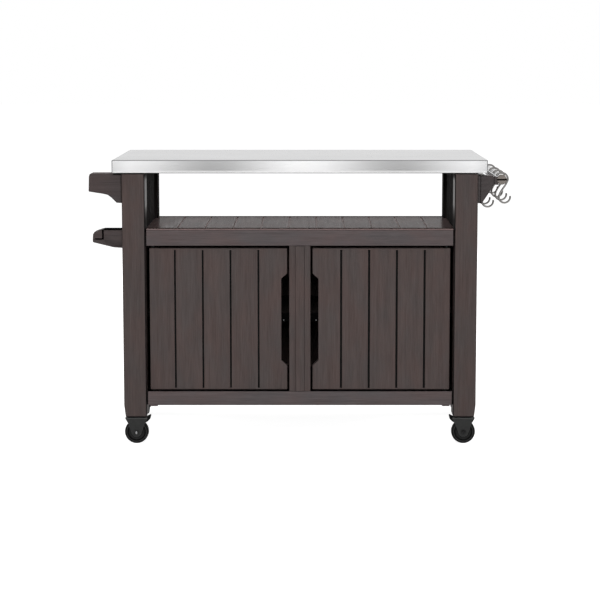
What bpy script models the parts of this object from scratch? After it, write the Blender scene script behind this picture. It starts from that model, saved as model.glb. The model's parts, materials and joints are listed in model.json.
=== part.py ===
"""A rolling bar cart: resin cabinet, folded steel top, open shelf, side arms, hook bar and casters.

Metres, +Z up, the front at -Y. The origin is on the floor, under the middle of the cart.
"""

import math

import bmesh
import bpy
from mathutils import Matrix, Vector

GAP = 0.0003
REACH = 0.010
GROOVE_STOP = 0.020

# Folded steel top and the resin deck under it
HEIGHT = 0.900
TOP_HALF_X = 0.580
TOP_HALF_Y = 0.260
SKIRT = 0.038
SHEET = 0.0015
DECK_WALL = 0.006
DECK_HALF_X = 0.556
DECK_FRONT = -0.236
DECK_BACK = 0.250

# Legs: outer and inner faces, foot height and taper
LEG_IN = 0.4805
LEG_OUT = 0.552
LEG_DEPTH = 0.070
FRONT_FACE = -0.245
REAR_FACE = 0.258
LEG_TOP = 0.857
FOOT = 0.0915
TAPER_START = 0.128
TAPER = 0.0045
LEG_EDGE = 0.0025

# Side panels between the legs
PANEL_IN = 0.490
PANEL_OUT = 0.518
PANEL_BOTTOM = 0.128

# Rails, shelf and cabinet boards
RAIL_DEPTH = 0.040
LEG_GAP_WIDE = 0.0042
LEG_GAP_DEEP = 0.0100
SHELF_RAIL_BOTTOM = 0.632
SHELF_RAIL_TOP = 0.681
SHELF_TOP = 0.674
SHELF_RIM_TOP = 0.687
SHELF_THICK = 0.014
BOTTOM_RAIL_LOW = 0.128
BOTTOM_RAIL_TOP = 0.172
RAIL_PAD_IN = 0.447
RAIL_PAD_OUT = 0.470
RAIL_PAD_DROP = 0.0035
FLOOR_LOW = 0.142
FLOOR_TOP = 0.158
BACK_FRONT = 0.2350
BACK_THICK = 0.012
BACK_TOP = 0.675
RAIL_LIP = 0.008
INNER_SHELF_TOP = 0.410
INNER_SHELF_THICK = 0.015
INNER_SHELF_FRONT = -0.170
DIVIDER_HALF = 0.008

# Planks of the shelf and the doors
SHELF_PLANK = 0.0884
SHELF_GROOVES = 10
SHELF_GROOVE_SHIFT = 0.008
SHELF_GROOVE_WIDE = 0.004
SHELF_GROOVE_DEEP = 0.0025
DOOR_GROOVES = (0.129, 0.216, 0.3025, 0.389)
GROOVE_WIDE = 0.0055
GROOVE_DEEP = 0.007
DOOR_GROOVE_STOP = 0.0055
INNER_GROOVE_DEEP = 0.003
PANEL_PLANKS = 4
BACK_PLANKS = 11

# Doors and the post between them
DOOR_INNER = 0.0395
DOOR_OUTER = 0.4686
DOOR_BOTTOM = 0.177
DOOR_TOP = 0.6236
DOOR_FRONT = -0.238
DOOR_BACK = -0.216
RECESS_DEEP = 0.0185
RECESS_LOW = 0.2533
RECESS_HIGH = 0.5446
RECESS_CHAMFER = 0.0167
HINGE_X = 0.4576
HINGE_Y = (DOOR_FRONT + DOOR_BACK) / 2
PIN_RADIUS = 0.004
PIN_CLEAR = 0.0003
PIN_HALF_LENGTH = 0.016
POST_HALF = 0.033
STRIP_HALF = 0.0143
CATCH_HALF = 0.008

# Left arms, each a plate as deep as ARM_DEPTH that stands on the leg's outer face
ARM_FRONT = -0.230
ARM_DEPTH = 0.044
TOWEL_ROD_X = 0.628
TOWEL_ROD_Z = 0.812
TOWEL_ROD_RADIUS = 0.008
SOCKET_DEEP = 0.014
CRADLE_TOP = 0.820
CRADLE_WALL = 0.006
JOINT_WIDE = 0.0035
JOINT_DEEP = 0.0030
JOINT_TOP_X = 0.5795
JOINT_TOP_LOW = 0.8520
ARM_CUT_LOW = 0.7000
SEAM = 0.0038
SEAM_LOW = 0.0030
SEAM_END = 0.0078
RACK_STRIP = 0.0020
TRAY_WALL = 0.004

# Hook bar on the right
BAR_X = 0.6272
BAR_Z = 0.8370
BAR_RADIUS = 0.0155
BAR_WALL = 0.0015
BAR_FRONT = -0.226
PLUG_SLOT_HALF = 0.0020
BAR_REAR = 0.243
BRACKET_REAR_Y = 0.201
NECK_DEEP = 0.0145
LINE_HALF = 0.0010
LINE_DEEP = 0.0020
BRACKET_LINES = (0.5617, 0.6030)
INNER_RAIL_X = 0.5814
INNER_RAIL_Z = 0.8309
INNER_RAIL_RADIUS = 0.005
RAIL_HOLE_DEEP = 0.013
WIRE_RADIUS = 0.0030
LOOP_RADIUS = 0.0194
LOOP_SHIFT = (0.0012, 0.0005)
CROOK_RADIUS = 0.0176
CROOK_CENTRE = (0.0108, -0.0560)
INNER_HOOK_SHIFT = (-0.0470, -0.0173)
BAR_HOOK_DEPTHS = (-0.210, -0.110, 0.000, 0.140)
RAIL_HOOK_DEPTHS = (-0.160, -0.060)

# Casters
WHEEL_RADIUS = 0.0375
WHEEL_HALF = 0.011
TRAIL = 0.013
SWIVEL_X = 0.529
SWIVEL_FRONT_Y = -0.210
SWIVEL_REAR_Y = 0.2225
PLATE_HALF = 0.030
PLATE_LOW = 0.0885
FORK_TOP = 0.0840
FORK_SHEET = 0.0025
CHEEK_IN = 0.0140
BOSS_RADIUS = 0.0155
KING_RADIUS = 0.005
KING_HEAD_RADIUS = 0.008
KING_HEAD_LOW = 0.0778
KING_HEAD_TOP = 0.0811
AXLE_RADIUS = 0.004
LEVER_HALF = 0.0105
LEVER_PIVOT_X = 0.024
LEVER_PIVOT_Z = 0.0735
LEVER_PIN_RADIUS = 0.002


def clear_scene():
    for obj in list(bpy.data.objects):
        bpy.data.objects.remove(obj, do_unlink=True)


def material(name, colour, roughness, metallic=0.0):
    made = bpy.data.materials.new(name)
    made.use_nodes = True
    shader = made.node_tree.nodes["Principled BSDF"]
    shader.inputs["Base Color"].default_value = (*colour, 1.0)
    shader.inputs["Roughness"].default_value = roughness
    shader.inputs["Metallic"].default_value = metallic
    return made


def empty(name, place, turn=0.0):
    made = bpy.data.objects.new(name, None)
    made.location = place
    made.rotation_euler = (0.0, 0.0, turn)
    bpy.context.scene.collection.objects.link(made)
    return made


def finish(name, shape, stuff, origin=(0, 0, 0), parent=None, smooth=False):
    """Makes an object of the bmesh, whose points are in the frame of the parent, or of the world."""
    bmesh.ops.recalc_face_normals(shape, faces=shape.faces)
    bmesh.ops.translate(shape, verts=shape.verts, vec=-Vector(origin))
    mesh = bpy.data.meshes.new(name)
    shape.to_mesh(mesh)
    shape.free()
    mesh.materials.append(stuff)
    if smooth:
        mesh.shade_smooth()
        mesh.set_sharp_from_angle(angle=math.radians(35))
    obj = bpy.data.objects.new(name, mesh)
    obj.location = origin
    obj.parent = parent
    bpy.context.scene.collection.objects.link(obj)
    return obj


def box(low, high, edge=0.0, segments=1):
    shape = bmesh.new()
    size = Vector(high) - Vector(low)
    centre = (Vector(high) + Vector(low)) / 2
    bmesh.ops.create_cube(shape, size=1.0, matrix=Matrix.Translation(centre) @ Matrix.Diagonal((*size, 1)))
    if edge:
        bevel(shape, shape.edges, edge, segments)
    return shape


def bevel(shape, edges, width, segments=1):
    bmesh.ops.bevel(
        shape, geom=list(edges), offset=width, segments=segments, affect="EDGES", profile=0.5, material=-1
    )


def mirrored(side, low_x, high_x):
    """The pair of X limits on that side, -1 or +1, lowest first."""
    return sorted((side * low_x, side * high_x))


def prism(outline, axis, low, high):
    """A flat outline pushed along X, Y or Z. Its two numbers are the other two axes, in X, Y, Z order."""
    place = {
        "X": lambda p: (low, p[0], p[1]),
        "Y": lambda p: (p[0], low, p[1]),
        "Z": lambda p: (p[0], p[1], low),
    }[axis]
    shape = bmesh.new()
    face = shape.faces.new([shape.verts.new(place(p)) for p in outline])
    pushed = bmesh.ops.extrude_face_region(shape, geom=[face])["geom"]
    along = {"X": (1, 0, 0), "Y": (0, 1, 0), "Z": (0, 0, 1)}[axis]
    ends = [v for v in pushed if isinstance(v, bmesh.types.BMVert)]
    bmesh.ops.translate(shape, verts=ends, vec=Vector(along) * (high - low))
    return shape


def cylinder(centre, axis, radius, half, segments=16):
    shape = bmesh.new()
    turn = {
        "X": Matrix.Rotation(math.pi / 2, 4, "Y"),
        "Y": Matrix.Rotation(math.pi / 2, 4, "X"),
        "Z": Matrix.Identity(4),
    }[axis]
    bmesh.ops.create_cone(
        shape,
        cap_ends=True,
        segments=segments,
        radius1=radius,
        radius2=radius,
        depth=2 * half,
        matrix=Matrix.Translation(centre) @ turn,
    )
    return shape


def spun(profile, centre, closed, segments=24):
    """The (radius, Y) outline spun about Y through centre. An outline that isn't closed ends on the axis."""
    shape = bmesh.new()
    points = [shape.verts.new((radius, y, 0)) for radius, y in profile]
    edges = [shape.edges.new((a, b)) for a, b in zip(points, points[1:])]
    if closed:
        edges.append(shape.edges.new((points[-1], points[0])))
    bmesh.ops.spin(
        shape,
        geom=points + edges,
        cent=(0, 0, 0),
        axis=(0, 1, 0),
        angle=2 * math.pi,
        steps=segments,
        use_merge=True,
    )
    bmesh.ops.remove_doubles(shape, verts=shape.verts, dist=0.00002)
    bmesh.ops.delete(shape, geom=[e for e in shape.edges if not e.link_faces], context="EDGES")
    bmesh.ops.translate(shape, verts=shape.verts, vec=centre)
    return shape


def front_edges(shape, y):
    """The edges that lie in the plane Y = y."""
    return [e for e in shape.edges if all(abs(v.co.y - y) < 0.0001 for v in e.verts)]


def arc(centre, radius, start, end, steps):
    """Points of a circle from one angle in degrees to another."""
    angles = [math.radians(start + (end - start) * i / steps) for i in range(steps + 1)]
    return [(centre[0] + radius * math.cos(a), centre[1] + radius * math.sin(a)) for a in angles]


def carve(obj, shapes, operation="DIFFERENCE"):
    """Applies one Boolean for each shape, in the frame of the object's parent."""
    for shape in shapes:
        tool = finish("cutter", shape, obj.data.materials[0], parent=obj.parent)
        tool.hide_render = True
        tool.display_type = "WIRE"
        cut = obj.modifiers.new("cut", "BOOLEAN")
        cut.operation = operation
        cut.solver = "EXACT"
        cut.object = tool
        bpy.context.view_layer.update()
        graph = bpy.context.evaluated_depsgraph_get()
        done = bpy.data.meshes.new_from_object(obj.evaluated_get(graph))
        obj.modifiers.clear()
        obj.data = done
        bpy.data.objects.remove(tool, do_unlink=True)
    return obj


def steel_top(steel):
    low = HEIGHT - SKIRT
    shape = box((-TOP_HALF_X, -TOP_HALF_Y, low), (TOP_HALF_X, TOP_HALF_Y, HEIGHT))
    bevel(shape, [e for e in shape.edges if max(v.co.z for v in e.verts) > HEIGHT - 0.001], 0.002, 2)
    top = finish("steel_top", shape, steel)
    inside_x, inside_y = TOP_HALF_X - SHEET, TOP_HALF_Y - SHEET
    hollow = box((-inside_x, -inside_y, low - REACH), (inside_x, inside_y, HEIGHT - SHEET))
    return carve(top, [hollow])


def top_deck(resin):
    """A ribbed tray turned upside down: a wide part inside the steel, and a narrower one on the legs."""
    wide_x, wide_y = TOP_HALF_X - SHEET - GAP, TOP_HALF_Y - SHEET - GAP
    high = HEIGHT - SHEET - GAP
    step = HEIGHT - SKIRT + 0.004
    low = LEG_TOP + GAP
    deck = finish("top_deck", box((-wide_x, -wide_y, step), (wide_x, wide_y, high)), resin)
    narrow = box((-DECK_HALF_X, DECK_FRONT, low), (DECK_HALF_X, DECK_BACK, step + 0.006))
    carve(deck, [narrow], "UNION")
    columns, rows = 6, 2
    wall = DECK_WALL / 2
    cell_x = 2 * (DECK_HALF_X - DECK_WALL) / columns
    cell_y = (DECK_BACK - DECK_FRONT - 2 * DECK_WALL) / rows
    pockets = []
    for i in range(columns):
        for j in range(rows):
            x = -DECK_HALF_X + DECK_WALL + i * cell_x
            y = DECK_FRONT + DECK_WALL + j * cell_y
            far = (x + cell_x - wall, y + cell_y - wall, high - DECK_WALL)
            pockets.append(box((x + wall, y + wall, low - REACH), far))
    return carve(deck, pockets)


def leg(name, side, front, resin):
    outline = [
        (side * LEG_IN, LEG_TOP),
        (side * LEG_OUT, LEG_TOP),
        (side * LEG_OUT, TAPER_START),
        (side * (LEG_OUT - TAPER), FOOT),
        (side * LEG_IN, FOOT),
    ]
    near = FRONT_FACE if front else REAR_FACE - LEG_DEPTH
    shape = prism(outline, "Y", near, near + LEG_DEPTH)
    bevel(shape, shape.edges, LEG_EDGE, 1)
    return finish(name, shape, resin)


def leg_rooms():
    """The spaces of the four legs, with the gap round each."""
    rooms = []
    for side in (-1, 1):
        low_x, high_x = mirrored(side, LEG_IN - GAP, LEG_OUT + 2 * REACH)
        rooms.append(box((low_x, FRONT_FACE - REACH, 0), (high_x, FRONT_FACE + LEG_DEPTH + GAP, 1)))
        rooms.append(box((low_x, REAR_FACE - LEG_DEPTH - GAP, 0), (high_x, REAR_FACE + REACH, 1)))
    return rooms


def side_panel(name, side, resin):
    """A planked board: its grooves stop short of its ends outside, and run right through inside."""
    low_x, high_x = mirrored(side, PANEL_IN, PANEL_OUT)
    low_y, high_y = FRONT_FACE + LEG_DEPTH + GAP, REAR_FACE - LEG_DEPTH - GAP
    panel = finish(name, box((low_x, low_y, PANEL_BOTTOM), (high_x, high_y, LEG_TOP)), resin)
    cuts = []
    for i in range(1, PANEL_PLANKS):
        y = low_y + (high_y - low_y) * i / PANEL_PLANKS
        near, far = y - GROOVE_WIDE / 2, y + GROOVE_WIDE / 2
        low_g, high_g = mirrored(side, PANEL_OUT - GROOVE_DEEP, PANEL_OUT + REACH)
        cuts.append(box((low_g, near, PANEL_BOTTOM + GROOVE_STOP), (high_g, far, LEG_TOP - GROOVE_STOP)))
        low_g, high_g = mirrored(side, PANEL_IN - REACH, PANEL_IN + INNER_GROOVE_DEEP)
        cuts.append(box((low_g, near, PANEL_BOTTOM - REACH), (high_g, far, LEG_TOP + REACH)))
    return carve(panel, cuts)


def shelf_board(resin):
    """A planked board with a raised rim along its front edge, notched round the legs."""
    back = BACK_FRONT - GAP
    under = SHELF_TOP - SHELF_THICK
    rim_low = SHELF_RAIL_TOP + GAP
    behind_lip = FRONT_FACE + RAIL_LIP + GAP
    outline = [
        (FRONT_FACE + 0.0010, rim_low),
        (FRONT_FACE + 0.0010, SHELF_RIM_TOP - 0.0022),
        (FRONT_FACE + 0.0020, SHELF_RIM_TOP - 0.0016),
        (FRONT_FACE + 0.0130, SHELF_RIM_TOP),
        (FRONT_FACE + 0.0190, SHELF_TOP),
        (back, SHELF_TOP),
        (back, under),
        (behind_lip, under),
        (behind_lip, rim_low),
    ]
    half = PANEL_IN - GAP
    board = finish("shelf_board", prism(outline, "X", -half, half), resin)
    cuts = leg_rooms() + leg_gaps(under, HEIGHT)
    first = SHELF_GROOVE_SHIFT - SHELF_PLANK * (SHELF_GROOVES - 1) / 2
    for i in range(SHELF_GROOVES):
        x = first + i * SHELF_PLANK
        cuts.append(
            box(
                (x - SHELF_GROOVE_WIDE / 2, FRONT_FACE + 0.024, SHELF_TOP - SHELF_GROOVE_DEEP),
                (x + SHELF_GROOVE_WIDE / 2, back + REACH, SHELF_TOP + REACH),
            )
        )
    return carve(board, cuts)


def front_rail(name, low, high, resin):
    half = LEG_IN - GAP
    shape = box((-half, FRONT_FACE, low), (half, FRONT_FACE + RAIL_DEPTH, high))
    long_edges = [e for e in shape.edges if abs(e.verts[0].co.x - e.verts[1].co.x) > half]
    bevel(shape, long_edges, 0.0025, 1)
    return carve(finish(name, shape, resin), leg_gaps(low - REACH, high + REACH))


def leg_gaps(low, high):
    """The narrow dark gaps between the front legs and what is between them, open to the front."""
    gaps = []
    for side in (-1, 1):
        low_x, high_x = mirrored(side, LEG_IN - LEG_GAP_WIDE, LEG_IN + REACH)
        gaps.append(box((low_x, FRONT_FACE - REACH, low), (high_x, FRONT_FACE + LEG_GAP_DEEP, high)))
    return gaps


def pin_holes(rail, z_low, z_high):
    holes = [
        cylinder(
            (side * HINGE_X, HINGE_Y, (z_low + z_high) / 2),
            "Z",
            PIN_RADIUS + PIN_CLEAR,
            (z_high - z_low) / 2,
            12,
        )
        for side in (-1, 1)
    ]
    return carve(rail, holes)


def cabinet_boards(resin):
    half = LEG_IN - GAP
    wide = PANEL_IN - GAP
    behind_rail = FRONT_FACE + RAIL_DEPTH + GAP
    back = BACK_FRONT - GAP
    floor = finish("cabinet_floor", box((-wide, behind_rail, FLOOR_LOW), (wide, back, FLOOR_TOP)), resin)
    carve(floor, leg_rooms())
    back_face = BACK_FRONT + BACK_THICK
    panel = finish("back_panel", box((-half, BACK_FRONT, PANEL_BOTTOM), (half, back_face, BACK_TOP)), resin)
    planks = []
    for i in range(1, BACK_PLANKS):
        x = half * (2 * i / BACK_PLANKS - 1)
        low = (x - SHELF_GROOVE_WIDE / 2, back_face - INNER_GROOVE_DEEP, PANEL_BOTTOM + GROOVE_STOP)
        planks.append(box(low, (x + SHELF_GROOVE_WIDE / 2, back_face + REACH, BACK_TOP - GROOVE_STOP)))
    carve(panel, planks)
    under_shelf = SHELF_TOP - SHELF_THICK - GAP
    finish(
        "centre_divider",
        box((-DIVIDER_HALF, behind_rail, FLOOR_TOP + GAP), (DIVIDER_HALF, back, under_shelf)),
        resin,
    )
    for side, word in ((-1, "left"), (1, "right")):
        low_x, high_x = mirrored(side, DIVIDER_HALF + GAP, wide)
        low_z = INNER_SHELF_TOP - INNER_SHELF_THICK
        high_y = REAR_FACE - LEG_DEPTH - GAP
        shape = box((low_x, INNER_SHELF_FRONT, low_z), (high_x, high_y, INNER_SHELF_TOP))
        finish(f"inner_shelf_{word}", shape, resin)


def centre_post(resin):
    face, groove, back = FRONT_FACE, FRONT_FACE + 0.004, FRONT_FACE + RAIL_DEPTH
    outline = [
        (-POST_HALF, back),
        (POST_HALF, back),
        (POST_HALF, groove),
        (STRIP_HALF, groove),
        (STRIP_HALF, face),
        (-STRIP_HALF, face),
        (-STRIP_HALF, groove),
        (-POST_HALF, groove),
    ]
    low, high = BOTTOM_RAIL_TOP + GAP, SHELF_RAIL_BOTTOM - GAP
    return finish("centre_post", prism(outline, "Z", low, high), resin)


def door(side, word, resin):
    """A planked slab with a long finger recess in its inner edge, which turns about its outer edge's pins."""
    low_x, high_x = mirrored(side, DOOR_INNER, DOOR_OUTER)
    shape = box((low_x, DOOR_FRONT, DOOR_BOTTOM), (high_x, DOOR_BACK, DOOR_TOP))
    bevel(shape, shape.edges, 0.0015, 1)
    slab = finish(f"door_{word}", shape, resin)
    edge = DOOR_INNER - REACH
    deep = DOOR_INNER + RECESS_DEEP
    recess = [
        (side * edge, RECESS_LOW - 0.0095),
        (side * deep, RECESS_LOW + RECESS_CHAMFER),
        (side * deep, RECESS_HIGH - RECESS_CHAMFER),
        (side * edge, RECESS_HIGH + 0.0095),
    ]
    cuts = [prism(recess, "Y", DOOR_FRONT - REACH, DOOR_BACK + REACH)]
    for x in DOOR_GROOVES:
        cuts.append(
            box(
                (side * x - GROOVE_WIDE / 2, DOOR_FRONT - REACH, DOOR_BOTTOM + DOOR_GROOVE_STOP),
                (side * x + GROOVE_WIDE / 2, DOOR_FRONT + GROOVE_DEEP, DOOR_TOP - DOOR_GROOVE_STOP),
            )
        )
    for z in (DOOR_BOTTOM, DOOR_TOP):
        cuts.append(
            cylinder((side * HINGE_X, HINGE_Y, z), "Z", PIN_RADIUS + PIN_CLEAR, PIN_HALF_LENGTH + 0.004, 12)
        )
    carve(slab, cuts)
    slab.data.transform(Matrix.Translation((-side * HINGE_X, -HINGE_Y, 0)))
    slab.location = (side * HINGE_X, HINGE_Y, 0)
    return slab


def hinge_pins(steel):
    middles = {
        "bottom": (BOTTOM_RAIL_TOP + DOOR_BOTTOM) / 2,
        "top": (SHELF_RAIL_BOTTOM + DOOR_TOP) / 2,
    }
    for side, word in ((-1, "left"), (1, "right")):
        for place, z in middles.items():
            centre = (side * HINGE_X, HINGE_Y, z)
            shape = cylinder(centre, "Z", PIN_RADIUS, PIN_HALF_LENGTH, 12)
            finish(f"hinge_pin_{place}_{word}", shape, steel, centre, smooth=True)


def door_catch(side, word, zinc):
    """A small striker on the post, behind the door, which shows in the finger recess."""
    middle = (DOOR_BOTTOM + DOOR_TOP) / 2 - 0.003
    low_x, high_x = mirrored(side, POST_HALF + GAP, DOOR_INNER + RECESS_DEEP - 0.001)
    low = (low_x, DOOR_BACK + 0.001, middle - CATCH_HALF)
    shape = box(low, (high_x, DOOR_BACK + 0.008, middle + CATCH_HALF), 0.001)
    return finish(f"door_catch_{word}", shape, zinc)


def towel_arms(resin, steel):
    """The front arm has a blind socket for the rod. The rear arm is an open cradle that the rod lies in."""
    back = ARM_FRONT + ARM_DEPTH
    root = -(LEG_OUT + GAP)
    underside = [(root, 0.7640), (-0.5695, 0.7650), (-0.5855, 0.7810), (-0.5970, 0.7895), (-0.6110, 0.7928)]
    profile = [(root, 0.8570), *underside, (-0.6540, 0.7995), (-0.6560, 0.8015)]
    profile += [(-0.6545, 0.8470), (-0.6520, 0.8540), (-0.6455, 0.8570)]
    shape = prism(profile, "Y", ARM_FRONT, back)
    bevel(shape, front_edges(shape, ARM_FRONT), 0.0025)
    front = finish("towel_arm_front", shape, resin)
    reach = TOWEL_ROD_RADIUS + GAP
    joint_far = (root + REACH, ARM_FRONT + JOINT_DEEP, HEIGHT)
    carve(
        front,
        [
            cylinder((-TOWEL_ROD_X, back, TOWEL_ROD_Z), "Y", reach, SOCKET_DEEP, 20),
            box((root - JOINT_WIDE, ARM_FRONT - REACH, ARM_CUT_LOW), joint_far),
            box((-JOINT_TOP_X, ARM_FRONT - REACH, JOINT_TOP_LOW), joint_far),
        ],
    )
    rear_low = BRACKET_REAR_Y
    cradle_end = rear_low + ARM_DEPTH - CRADLE_WALL
    cradle = [(root, CRADLE_TOP)]
    cradle += [(x, z - 0.036) for x, z in underside]
    cradle += [(-0.6410, 0.7610), (-0.6410, CRADLE_TOP)]
    rear = finish("towel_arm_rear", prism(cradle, "Y", rear_low, rear_low + ARM_DEPTH), resin)
    outline = arc((-TOWEL_ROD_X, TOWEL_ROD_Z), reach, -180, 0, 10)
    outline += [(-TOWEL_ROD_X + reach, CRADLE_TOP + REACH), (-TOWEL_ROD_X - reach, CRADLE_TOP + REACH)]
    carve(rear, [prism(outline, "Y", rear_low - REACH, cradle_end)])
    start, end = back - SOCKET_DEEP + 0.001, cradle_end - 0.001
    centre = (-TOWEL_ROD_X, (start + end) / 2, TOWEL_ROD_Z)
    rod = cylinder(centre, "Y", TOWEL_ROD_RADIUS, (end - start) / 2, 20)
    finish("towel_rod", rod, steel, centre, smooth=True)


def rack(resin):
    """The lower arm under a cap that runs along its top and round its end, and a tray behind them."""
    back = ARM_FRONT + ARM_DEPTH
    root = -(LEG_OUT + GAP)
    seam_x, seam_z = -0.6110, 0.6500
    tip, top = -0.6450, 0.6825
    strip_low = top - RACK_STRIP
    arm_top = strip_low - GAP
    arm = [
        (root, arm_top),
        (root, 0.6236),
        (-0.5800, 0.6255),
        (tip + 0.0030, 0.6408),
        (tip, 0.6435),
        (tip, seam_z),
        (seam_x, seam_z),
        (seam_x, arm_top),
    ]
    shape = prism(arm, "Y", ARM_FRONT, back)
    bevel(shape, front_edges(shape, ARM_FRONT), 0.0015)
    finish("rack_arm_front", shape, resin)
    slope = [(-0.6180, 0.6810), (-0.6240, 0.6790), (-0.6345, 0.6755), (-0.6400, 0.6728), (-0.6438, 0.6670)]
    cap = [(root, top), (seam_x, top), *slope]
    cap += [(tip, seam_z + GAP), (tip + SEAM_END, seam_z + GAP), (tip + SEAM_END, seam_z + SEAM_LOW)]
    cap += [(seam_x - SEAM, seam_z + SEAM_LOW)]
    cap += [(seam_x - SEAM, strip_low), (root, strip_low)]
    shape = prism(cap, "Y", ARM_FRONT, back)
    bevel(shape, front_edges(shape, ARM_FRONT), 0.0005)
    finish("rack_end_cap", shape, resin)
    tray_front, tray_back = back + GAP, 0.020
    low, high, outer = 0.6330, 0.6550, -0.6300
    tray = finish("rack_tray", box((outer, tray_front, low), (root, tray_back, high)), resin)
    hollow = box(
        (outer + TRAY_WALL, tray_front + TRAY_WALL, low + TRAY_WALL),
        (root - TRAY_WALL, tray_back - TRAY_WALL, high + REACH),
    )
    carve(tray, [hollow])
    tab = box((root - TRAY_WALL / 2, -0.110, low), (-(PANEL_OUT + GAP), -0.050, high))
    carve(tray, [tab], "UNION")


def bar_bracket(name, front, resin):
    """A plate on the leg whose narrow neck holds the tube, with a blind hole for the inner rail."""
    near = ARM_FRONT if front else BRACKET_REAR_Y
    far = near + ARM_DEPTH
    outline = [
        (LEG_OUT + GAP, 0.8493),
        (LEG_OUT + GAP, 0.7635),
        (0.5662, 0.7635),
        (0.5996, 0.8143),
        (0.5996, 0.8493),
    ]
    shape = prism(outline, "Y", near, far)
    bevel(shape, front_edges(shape, near), 0.0015)
    bracket = finish(name, shape, resin)
    neck_low, neck_high = (near, near + NECK_DEEP) if front else (far - NECK_DEEP, far)
    neck = box((0.5960, neck_low, 0.8210), (BAR_X - BAR_RADIUS + 0.006, neck_high, 0.8455))
    carve(bracket, [neck], "UNION")
    open_side = far if front else near
    face_low, face_high = (near - REACH, near + LINE_DEEP) if front else (far - LINE_DEEP, far + REACH)
    lines = [
        box((x - LINE_HALF, face_low, ARM_CUT_LOW), (x + LINE_HALF, face_high, HEIGHT)) for x in BRACKET_LINES
    ]
    return carve(
        bracket,
        lines
        + [
            cylinder((BAR_X, 0, BAR_Z), "Y", BAR_RADIUS + GAP, 0.5, 24),
            cylinder(
                (INNER_RAIL_X, open_side, INNER_RAIL_Z), "Y", INNER_RAIL_RADIUS + GAP, RAIL_HOLE_DEEP, 16
            ),
        ],
    )


def hook_bar(steel, resin, zinc):
    """A tube closed at the rear, with a slotted plug in its front end, and a thin rail beside it."""
    inner = BAR_RADIUS - BAR_WALL
    profile = [
        (inner, BAR_FRONT),
        (BAR_RADIUS, BAR_FRONT),
        (BAR_RADIUS, BAR_REAR - 0.002),
        (BAR_RADIUS - 0.002, BAR_REAR),
        (0, BAR_REAR),
        (0, BAR_REAR - 0.004),
        (inner, BAR_REAR - 0.004),
    ]
    axis = (BAR_X, 0, BAR_Z)
    finish("hook_bar", spun(profile, axis, True), steel, axis, smooth=True)
    face = BAR_FRONT - GAP
    outside = face - 0.0047
    spigot = inner - GAP
    profile = [
        (0, outside),
        (BAR_RADIUS - 0.0015, outside),
        (BAR_RADIUS, outside + 0.0015),
        (BAR_RADIUS, face),
        (spigot, face),
        (spigot, face + 0.020),
        (0, face + 0.020),
    ]
    plug = finish("bar_plug_front", spun(profile, axis, False), resin)
    slot = box(
        (BAR_X - BAR_RADIUS - REACH, outside - REACH, BAR_Z - PLUG_SLOT_HALF),
        (BAR_X + BAR_RADIUS + REACH, outside + 0.0015, BAR_Z + PLUG_SLOT_HALF),
    )
    carve(plug, [slot])
    near = ARM_FRONT + ARM_DEPTH - RAIL_HOLE_DEEP + 0.0005
    far = BRACKET_REAR_Y + RAIL_HOLE_DEEP - 0.0005
    centre = (INNER_RAIL_X, (near + far) / 2, INNER_RAIL_Z)
    rail = cylinder(centre, "Y", INNER_RAIL_RADIUS, (far - near) / 2, 16)
    finish("inner_rail", rail, zinc, centre, smooth=True)


def hook_path():
    """The wire's line in its own plane, measured from the tube's middle."""
    loop = arc(LOOP_SHIFT, LOOP_RADIUS, 140, -25, 12)
    crook = arc(CROOK_CENTRE, CROOK_RADIUS, 160, 365, 14)
    return loop + crook


def hook(name, place, pivot, steel):
    """One S-shaped wire, swept along its path. Its origin is on the line that it swings about."""
    sides = 8
    path = [Vector((u, 0, w)) for u, w in hook_path()]
    shape = bmesh.new()
    rings = []
    for i, point in enumerate(path):
        before, after = path[max(i - 1, 0)], path[min(i + 1, len(path) - 1)]
        along = (after - before).normalized()
        across = Vector((0, 1, 0))
        up = along.cross(across)
        ring = []
        for k in range(sides):
            a = 2 * math.pi * k / sides
            ring.append(shape.verts.new(point + WIRE_RADIUS * (math.cos(a) * across + math.sin(a) * up)))
        rings.append(ring)
    for one, two in zip(rings, rings[1:]):
        for k in range(sides):
            shape.faces.new((one[k], one[(k + 1) % sides], two[(k + 1) % sides], two[k]))
    shape.faces.new(rings[0])
    shape.faces.new(rings[-1])
    bmesh.ops.translate(shape, verts=shape.verts, vec=place)
    return finish(name, shape, steel, pivot, smooth=True)


def hooks(steel):
    number = 0
    for y in BAR_HOOK_DEPTHS:
        number += 1
        hook(f"hook_{number}", (BAR_X, y, BAR_Z), (BAR_X, y, BAR_Z), steel)
    for y in RAIL_HOOK_DEPTHS:
        number += 1
        place = (BAR_X + INNER_HOOK_SHIFT[0], y, BAR_Z + INNER_HOOK_SHIFT[1])
        hook(f"hook_{number}", place, (INNER_RAIL_X, y, INNER_RAIL_Z), steel)


def fork_shape():
    """The side outline of the fork's cheeks, wheel centre at x = TRAIL from the swivel's axis."""
    half = [(0.0350, FORK_TOP), (0.0350, FORK_TOP - 0.003), (0.0270, 0.0670), (0.0152, 0.0355)]
    cheek = [(TRAIL - u, z) for u, z in half]
    cheek += arc((TRAIL, WHEEL_RADIUS), 0.0150, 200, 340, 6)
    cheek += [(TRAIL + u, z) for u, z in reversed(half)]
    return cheek


def upright(radius, low, high, segments=16):
    return cylinder((0, 0, (low + high) / 2), "Z", radius, (high - low) / 2, segments)


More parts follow.
